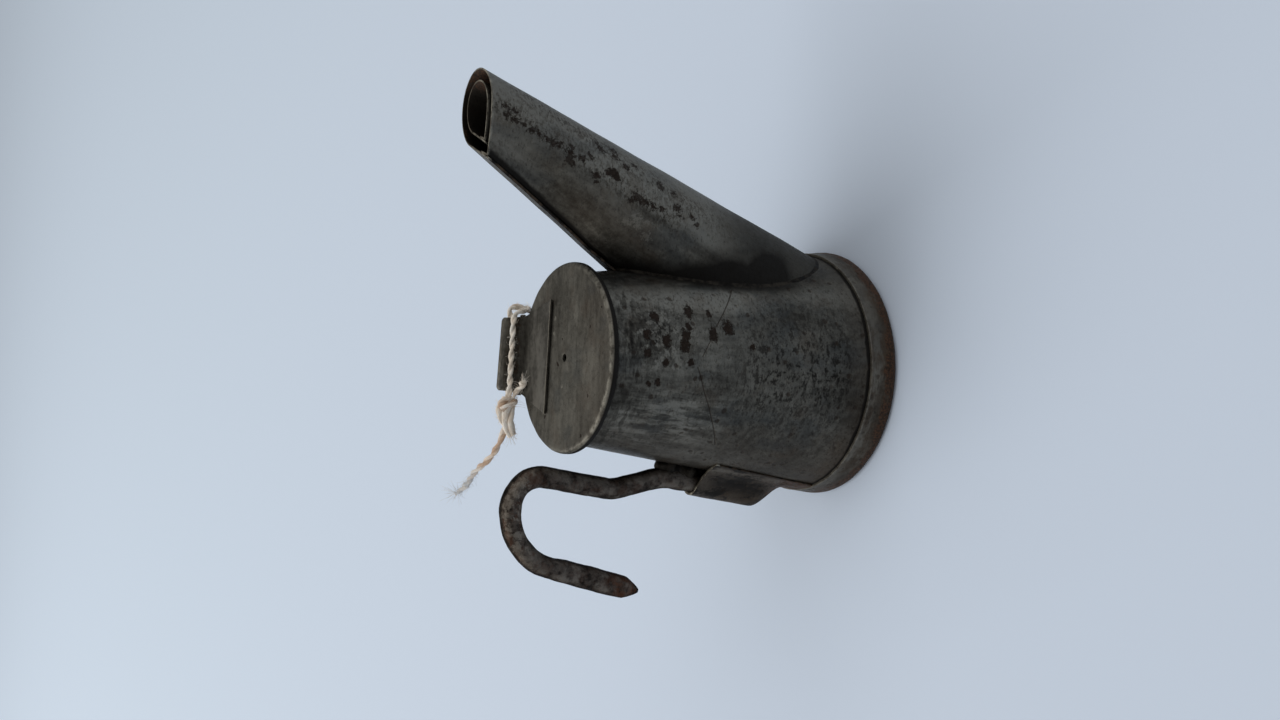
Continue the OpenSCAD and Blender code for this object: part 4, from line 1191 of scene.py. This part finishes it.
def makeLid():
    r, top, sheet, bevel = lid["radius"], lid["top"], lid["sheet"], lid["bevel"]
    edge = r - bevel
    face = [lid["vent"] + 0.06, lid["vent"] + 0.2] + [1.4 + (edge - 1.6) * i / 18 for i in range(19)]
    bevelArc = [(edge + bevel * math.sin(a), top - bevel + bevel * math.cos(a))
                for a in (math.radians(90 * i / 7) for i in range(1, 8))]
    under = [(r - sheet, top - lid["rim"]), (r - sheet, top - sheet - 0.45), (r - sheet - 0.4, top - sheet)]
    back = [(x, top - sheet) for x in reversed(face[1:])]
    profile = ([(lid["vent"], top - 0.05)] + [(x, top) for x in face] + bevelArc
               + [(r, top - lid["rim"] + 0.12), (r - 0.12, top - lid["rim"])] + under + back
               + [(lid["vent"], top - sheet), (lid["vent"], top - 0.05)])
    piece = turned("lidDisc", profile, lid["steps"])

    def unevenness(point):
        reach = math.hypot(point.x, point.y)
        plain = ease(reach, 0.8, 3.0)
        dish = -0.10 * ease(17 - reach, 0, 12) - 0.22 * math.exp(-((point.x - 5.5) ** 2 + (point.y + 8.0) ** 2) / 9)
        dent = -0.10 * math.exp(-((point.x + 1.5) ** 2 + (point.y - 2) ** 2) / 0.8)
        behind = 1 - ease(point.y, 3.5, 6)       # flat where the leaf lies
        lumps = 0.11 * swell(point, 6, 1.1) * behind + 0.08 * swell(point, 3, 6.1) * ease(reach, 16.5, 17.6)
        return 0, 0, min(0.06, (dish * behind + dent + lumps) * plain)

    nudge(piece, unevenness)
    piece.data.materials.append(lidTin)
    smooth(piece, 50)
    hold(piece, "lid", "tin", "lid_disc")


makeLid()


# String: route of the loop round the tab, its knot, its short end and its long end

string = {"diameter": 1.25, "pitch": 4.8, "step": 0.2, "around": 28, "ply": 0.57}
loopRoute = ((-9.8, 17.29, 62.375), (-8.4, 16.99, 62.475), (-6.2, 16.99, 62.475), (-3.6, 16.99, 62.475),
             (0, 16.99, 62.475), (3.6, 16.99, 62.475), (6.4, 16.99, 62.475), (7.8, 16.89, 62.175),
             (8.5, 16.99, 61.175), (8.7, 17.29, 59.775), (8.9, 18.09, 58.675), (9.3, 19.09, 58.775),
             (9.5, 19.64, 60.075), (9.3, 19.64, 61.425), (8.7, 19.44, 62.225), (7.4, 19.24, 62.125),
             (3.6, 19.14, 61.825), (0, 19.14, 61.825), (-3.6, 19.14, 61.825), (-6.6, 19.14, 61.825),
             (-8.2, 18.84, 61.925), (-9.8, 18.04, 62.025))
stubRoute = ((-9.4, 16.6, 61.9), (-8.1, 16.4, 61.7), (-7.0, 16.1, 61.2), (-6.4, 15.4, 60.95), (-5.9, 14.6, 61.0),
             (-5.2, 13.9, 61.05))
wrapRoute = ((-8.6, 17.0, 61.8), (-8.8, 16.3, 62.9), (-9.3, 16.4, 64.0), (-10.0, 17.2, 64.3), (-10.4, 17.9, 63.2),
             (-10.1, 18.1, 61.8), (-9.6, 17.4, 60.9), (-9.2, 16.3, 61.3), (-9.6, 15.8, 62.4), (-10.2, 16.0, 63.5),
             (-10.8, 16.8, 63.9))
coreRoute = ((-8.5, 17.2, 62.6), (-9.4, 17.2, 62.8), (-10.6, 17.2, 62.9), (-11.8, 17.2, 62.8), (-13.0, 17.2, 62.5),
             (-14.2, 17.1, 62.1), (-15.2, 17.1, 61.7))
bowRoutes = (((-10.0, 17.4, 63.1), (-11.6, 17.4, 63.3), (-13.2, 17.3, 62.9), (-14.8, 17.2, 62.3), (-16.1, 17.1, 61.5)),
             ((-10.0, 16.8, 61.8), (-11.4, 16.7, 62.0), (-12.9, 16.7, 62.0), (-14.4, 16.7, 61.6), (-15.7, 16.8, 61.1)),
             ((-9.9, 17.6, 63.7), (-10.8, 17.8, 64.2), (-11.9, 17.8, 64.0), (-13.0, 17.7, 63.5), (-13.9, 17.5, 62.9)))
tailRoute = ((-12, 17.8, 61.9), (-13.2, 18.2, 62.0), (-14.6, 18.6, 62.2), (-16, 19.2, 62.3), (-17.4, 20.1, 62.4),
             (-18.8, 21.2, 62.5), (-20.2, 22.7, 62.6), (-21.4, 24.4, 62.75), (-22.5, 26.3, 62.9),
             (-23.6, 28.4, 63.0), (-24.6, 30.5, 62.8), (-25.7, 32.6, 62.4), (-26.8, 34.7, 61.9),
             (-27.8, 36.8, 61.6), (-28.7, 38.9, 61.4), (-29.5, 41, 61.2), (-30.1, 43.2, 60.9))


def stringFinish():
    f = Finish("cottonString")
    lay = f.node("Attribute", {"attribute_name": "lay"}, out="Vector")
    groove = f.node("Attribute", {"attribute_name": "groove"}, out="Fac")
    age = f.node("Attribute", {"attribute_name": "age"}, out="Fac")
    grey = f.node("Attribute", {"attribute_name": "grey"}, out="Fac")
    fibre = f.clouds(0.16, 4.0, 0.65, where=lay)
    colour = f.mix(f.between(f.clouds(2.4, 4.0, 0.6), 0.40, 0.62), rgb(0.88, 0.79, 0.68), rgb(0.98, 0.94, 0.87))
    old = f.between(age + (f.clouds(1.6, 5.0, 0.65) - 0.5) * 1.1, 0.25, 0.95)
    colour = f.mix(old * 0.85, colour, rgb(0.50, 0.31, 0.19))
    colour = f.mix(grey * f.between(f.clouds(1.2, 4.0), 0.36, 0.56, 0.6, 1.0), colour, rgb(0.50, 0.52, 0.54))
    # painted shade in the grooves between the plies
    colour = f.mix(f.between(groove, 0.3, 1.0) * 0.28, colour, rgb(0.40, 0.29, 0.20))
    colour = f.mix(f.between(fibre, 0.50, 0.34) * 0.35, colour, rgb(0.42, 0.33, 0.23))
    return f.done(colour, 0.92, 0.0, fibre * 1.4 + f.clouds(0.9, 3.0) * 0.6 - groove * 0.4, 0.07)


cottonString = stringFinish()


def makeString(name, route, age, thin=lambda share: 1.0, pitch=string["pitch"], grey=lambda share: 0.0,
               ply=string["ply"]):
    # two plies, each a circle in the string's section, wind round each other
    path = resampled(route, string["step"])
    last = len(path) - 1
    off = 1 - ply
    waist = math.sqrt(ply ** 2 - off ** 2)

    def turned(step, angle):
        return angle - 2 * math.pi * step * string["step"] / pitch + 0.9 * swell(path[step], 4, 2.5)

    def section(step, angle):
        turn = turned(step, angle)
        return off * abs(math.cos(turn)) + math.sqrt(ply ** 2 - (off * math.sin(turn)) ** 2)

    def radius(step, angle):
        thick = string["diameter"] / 2 * thin(step / last) * (0.97 + 0.16 * swell(path[step], 1.8, 5.0))
        return thick * section(step, angle)

    notes = {"groove": lambda step, angle: (1 - section(step, angle)) / (1 - waist),
             "age": lambda step, angle: age(path[step]) * (0.78 + 0.30 * math.cos(turned(step, angle))),
             "grey": lambda step, angle: grey(step / last) * (0.9 - 0.25 * math.cos(turned(step, angle))),
             "lay": lambda step, angle: Vector((step * string["step"] * 0.16, 0.5 * math.cos(angle),
                                                0.5 * math.sin(angle))) * mm}
    piece = tubeAlong(name, path, string["around"], radius, (0.1, 0.2, 1), notes)
    piece.data.materials.append(cottonString)
    smooth(piece, 80)
    return piece, path


loop, loopPath = makeString("stringLoop", loopRoute, lambda p: 0.1 + 0.4 * ease(-p.x, 7, 10) + 0.35 * ease(p.x, 7, 9),
                            ply=0.60)
stub, stubPath = makeString("stringStub", stubRoute, lambda p: 0.0, thin=lambda share: 0.9 + 0.35 * ease(share, 0.5, 0.95))
wrap, wrapPath = makeString("stringWrap", wrapRoute, lambda p: 0.95, pitch=9, thin=lambda share: 1.0)
core, corePath = makeString("stringCore", coreRoute, lambda p: 0.35, pitch=12, ply=0.7,
                            thin=lambda share: 2.0 - 0.5 * ease(share, 0.3, 0.9))
bowSizes = ((1.0, 0.35), (1.1, 0.25), (0.85, 0.15))
bows = []
for i, (route, (thickness, belly)) in enumerate(zip(bowRoutes, bowSizes)):
    bows.append(makeString(f"stringBow{i + 1}", route, lambda p: 0.35, pitch=14, ply=0.66,
                           thin=lambda share: thickness + belly * math.sin(math.pi * share)))
tieString = join([loop, stub, wrap, core] + [bow for bow, path in bows], "tieString")
hold(tieString, "lid", "string", "tie_string")
tail, tailPath = makeString("stringTail", tailRoute, lambda p: 0.35 + 0.65 * ease(-p.x, 13, 15) * ease(27 + p.x, 0, 6),
                            pitch=7.2, thin=lambda share: 1.12 + 0.06 * math.sin(9 * share) - 0.45 * ease(share, 0.74, 1.0),
                            grey=lambda share: ease(share, 0.40, 0.70))
hold(tail, "lid", "string", "string_tail")


fuzz = {"hairs": 900, "thickness": 0.020, "reach": (0.3, 1.3), "frayed": 60, "wisps": 110, "rows": 6}


def makeFuzz():
    # loose fibres that stand off the string, the wisps along its tail and its frayed ends
    hairs = []

    def aside(size):
        return Vector((draw.gauss(0, 1), draw.gauss(0, 1), draw.gauss(0, 1))) * size

    routes = [(loopPath, 5), (stubPath, 2), (wrapPath, 2), (tailPath, 6)] + [(path, 1.5) for bow, path in bows]
    shares = sum(share for path, share in routes)
    for path, share in routes:
        for _ in range(round(fuzz["hairs"] * share / shares)):
            k = draw.randrange(2, len(path) - 3)
            out = aside(1).normalized()
            along = (path[k + 1] - path[k]).normalized()
            reach = draw.uniform(*fuzz["reach"])
            start = path[k] + out * string["diameter"] * 0.36
            middle = start + out * reach * 0.4 + along * draw.uniform(-0.5, 0.5)
            hairs.append([start, middle, middle + (out * 0.5 + along * draw.uniform(-1.2, 1.2)) * reach * 0.6 + aside(0.2)])
    for path, count, spread in ((tailPath, fuzz["frayed"], 1.5), (stubPath, 30, 0.8), (bows[0][1], 20, 0.8),
                                (bows[1][1], 20, 0.8)):
        along = (path[-1] - path[-4]).normalized()
        for _ in range(count):
            off = aside(0.4) * spread
            start = path[-1] - along * 0.7 + off * 0.5
            hairs.append([start, start + along * 1.0 + off * 0.7,
                          start + along * draw.uniform(1.3, 2.4) * spread + off * 2.0])
    for _ in range(fuzz["wisps"]):
        k = draw.randrange(len(tailPath) // 2, len(tailPath) - 22)
        off = aside(0.34)
        hairs.append([tailPath[k] + off * 0.7, tailPath[k + 10] + off * 1.5, tailPath[k + 20] + off * 1.6 + aside(0.4)])
    for _ in range(50):      # the loop's right end is worn to a tuft
        k = draw.randrange(len(loopPath) * 38 // 100, len(loopPath) * 55 // 100)
        off = aside(0.55)
        hairs.append([loopPath[k] + off * 0.6, loopPath[k + 5] + off * 1.3, loopPath[k + 10] + off * 1.5 + aside(0.3)])
    for x in (-9.3, -9.7, -10.1):
        hairs.append([Vector((x, 16.2, 61.3)), Vector((x + 0.1, 15.9, 60.4)), Vector((x - 0.3, 16.0, 58.9))])

    def nearPin(point):
        return abs(point.x) < 8.3 and math.hypot(point.y - hinge["pin"][0], point.z - hinge["pin"][1]) < 1.7

    hairs = [hair for hair in hairs if not any(nearPin(point) for point in hair)]

    def place(column, row):
        hair, step = divmod(row, fuzz["rows"])
        first, middle, final = hairs[hair]
        t = step / (fuzz["rows"] - 1)
        centre = first * (1 - t) ** 2 + middle * 2 * t * (1 - t) + final * t * t
        if t in (0, 1):
            return centre
        along = (final - first).normalized()
        side = along.orthogonal().normalized()
        angle = 2 * math.pi * column / 3
        return centre + fuzz["thickness"] * (math.cos(angle) * side + math.sin(angle) * along.cross(side))

    perHair = 4 * fuzz["rows"]
    piece = bentSheet("stringFuzz", 4, fuzz["rows"] * len(hairs), place)
    ageing = piece.data.attributes.new("grey", "FLOAT", "POINT")
    for i in range(len(ageing.data)):
        ageing.data[i].value = ease(-piece.data.vertices[i].co.x / mm, 21, 26)
    cutAway(piece, lambda face: len({corner // perHair for corner in face.vertices}) > 1)
    inEditMode(piece, mergeDoubles, turnOutward)
    piece.data.materials.append(cottonString)
    hold(piece, "lid", "string")
    return piece


stringFuzz = makeFuzz()
tailPath[0] * mm
routeLength(tailPath) * mm
[p * mm for p in tailPath]


# What stays as the frame has it

for node, finish in (("base_solder", solderAndShade), ("lid_collar", sootyTin)):
    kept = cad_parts[node]
    kept.data.materials.clear()
    kept.data.materials.append(finish)


# Floor, light and camera

studio = {"near": rgb(0.680, 0.780, 0.930), "far": rgb(0.640, 0.745, 0.880), "floorSize": 12.0,
          "world": (1.0, 0.985, 0.96, 1.0), "worldStrength": 0.36}
bpy.ops.mesh.primitive_plane_add(size=studio["floorSize"])
floor = bpy.context.object
floor.name = "floor"


def floorFinish():
    f = Finish("paleFloor")
    # painted light: the floor is a little brighter in front than behind
    back = f.between(f.y, -60.0, 620.0)
    return f.done(f.mix(back, studio["near"], studio["far"]), 0.8 + f.clouds(300) * 0.05, 0.0)


floor.data.materials.append(floorFinish())

world = bpy.data.worlds.new("softSky")
world.use_nodes = True
world.node_tree.nodes["Background"].inputs["Color"].default_value = studio["world"]
world.node_tree.nodes["Background"].inputs["Strength"].default_value = studio["worldStrength"]
bpy.context.scene.world = world

lamps = {
    "window": {"place": (-0.66, 0.52, 0.88), "size": 1.5, "energy": 9.8, "colour": (1.0, 0.985, 0.96)},
    "fill": {"place": (4.0, -0.6, 2.25), "size": 4.5, "energy": 50.0, "colour": (1.0, 0.99, 0.97)},
}
for name, lamp in lamps.items():
    light = bpy.data.lights.new(name, "AREA")
    light.size = lamp["size"]
    light.energy = lamp["energy"]
    light.color = lamp["colour"]
    holder = bpy.data.objects.new(name, light)
    holder.location = lamp["place"]
    holder.rotation_euler = (Vector((0, 0, 0.04)) - Vector(lamp["place"])).to_track_quat("-Z", "Y").to_euler()
    bpy.context.scene.collection.objects.link(holder)

shot = {"elevation": 30.84, "roll": 3.44, "distance": 289.1, "target": (0.42, 0.0, 43.28), "lens": 42.19}


def makeCamera():
    # the photograph shows the lamp lying a quarter turn to the left
    elevation, roll = math.radians(shot["elevation"]), math.radians(shot["roll"])
    back = Vector((0, -math.cos(elevation), math.sin(elevation)))
    right = Vector((1, 0, 0))
    up = back.cross(right)
    across = math.cos(roll) * right + math.sin(roll) * up
    rise = math.cos(roll) * up - math.sin(roll) * right
    camera = bpy.data.objects.new("camera", bpy.data.cameras.new("camera"))
    camera.data.lens = shot["lens"]
    camera.data.sensor_width = 36
    camera.data.clip_start = 0.01
    place = (Vector(shot["target"]) + back * shot["distance"]) * mm
    axes = Matrix((-rise, across, back)).transposed().to_4x4()
    camera.matrix_world = Matrix.Translation(place) @ axes
    bpy.context.scene.collection.objects.link(camera)
    bpy.context.scene.camera = camera


makeCamera()
bpy.context.scene.view_settings.view_transform = "Standard"

print("scene made")
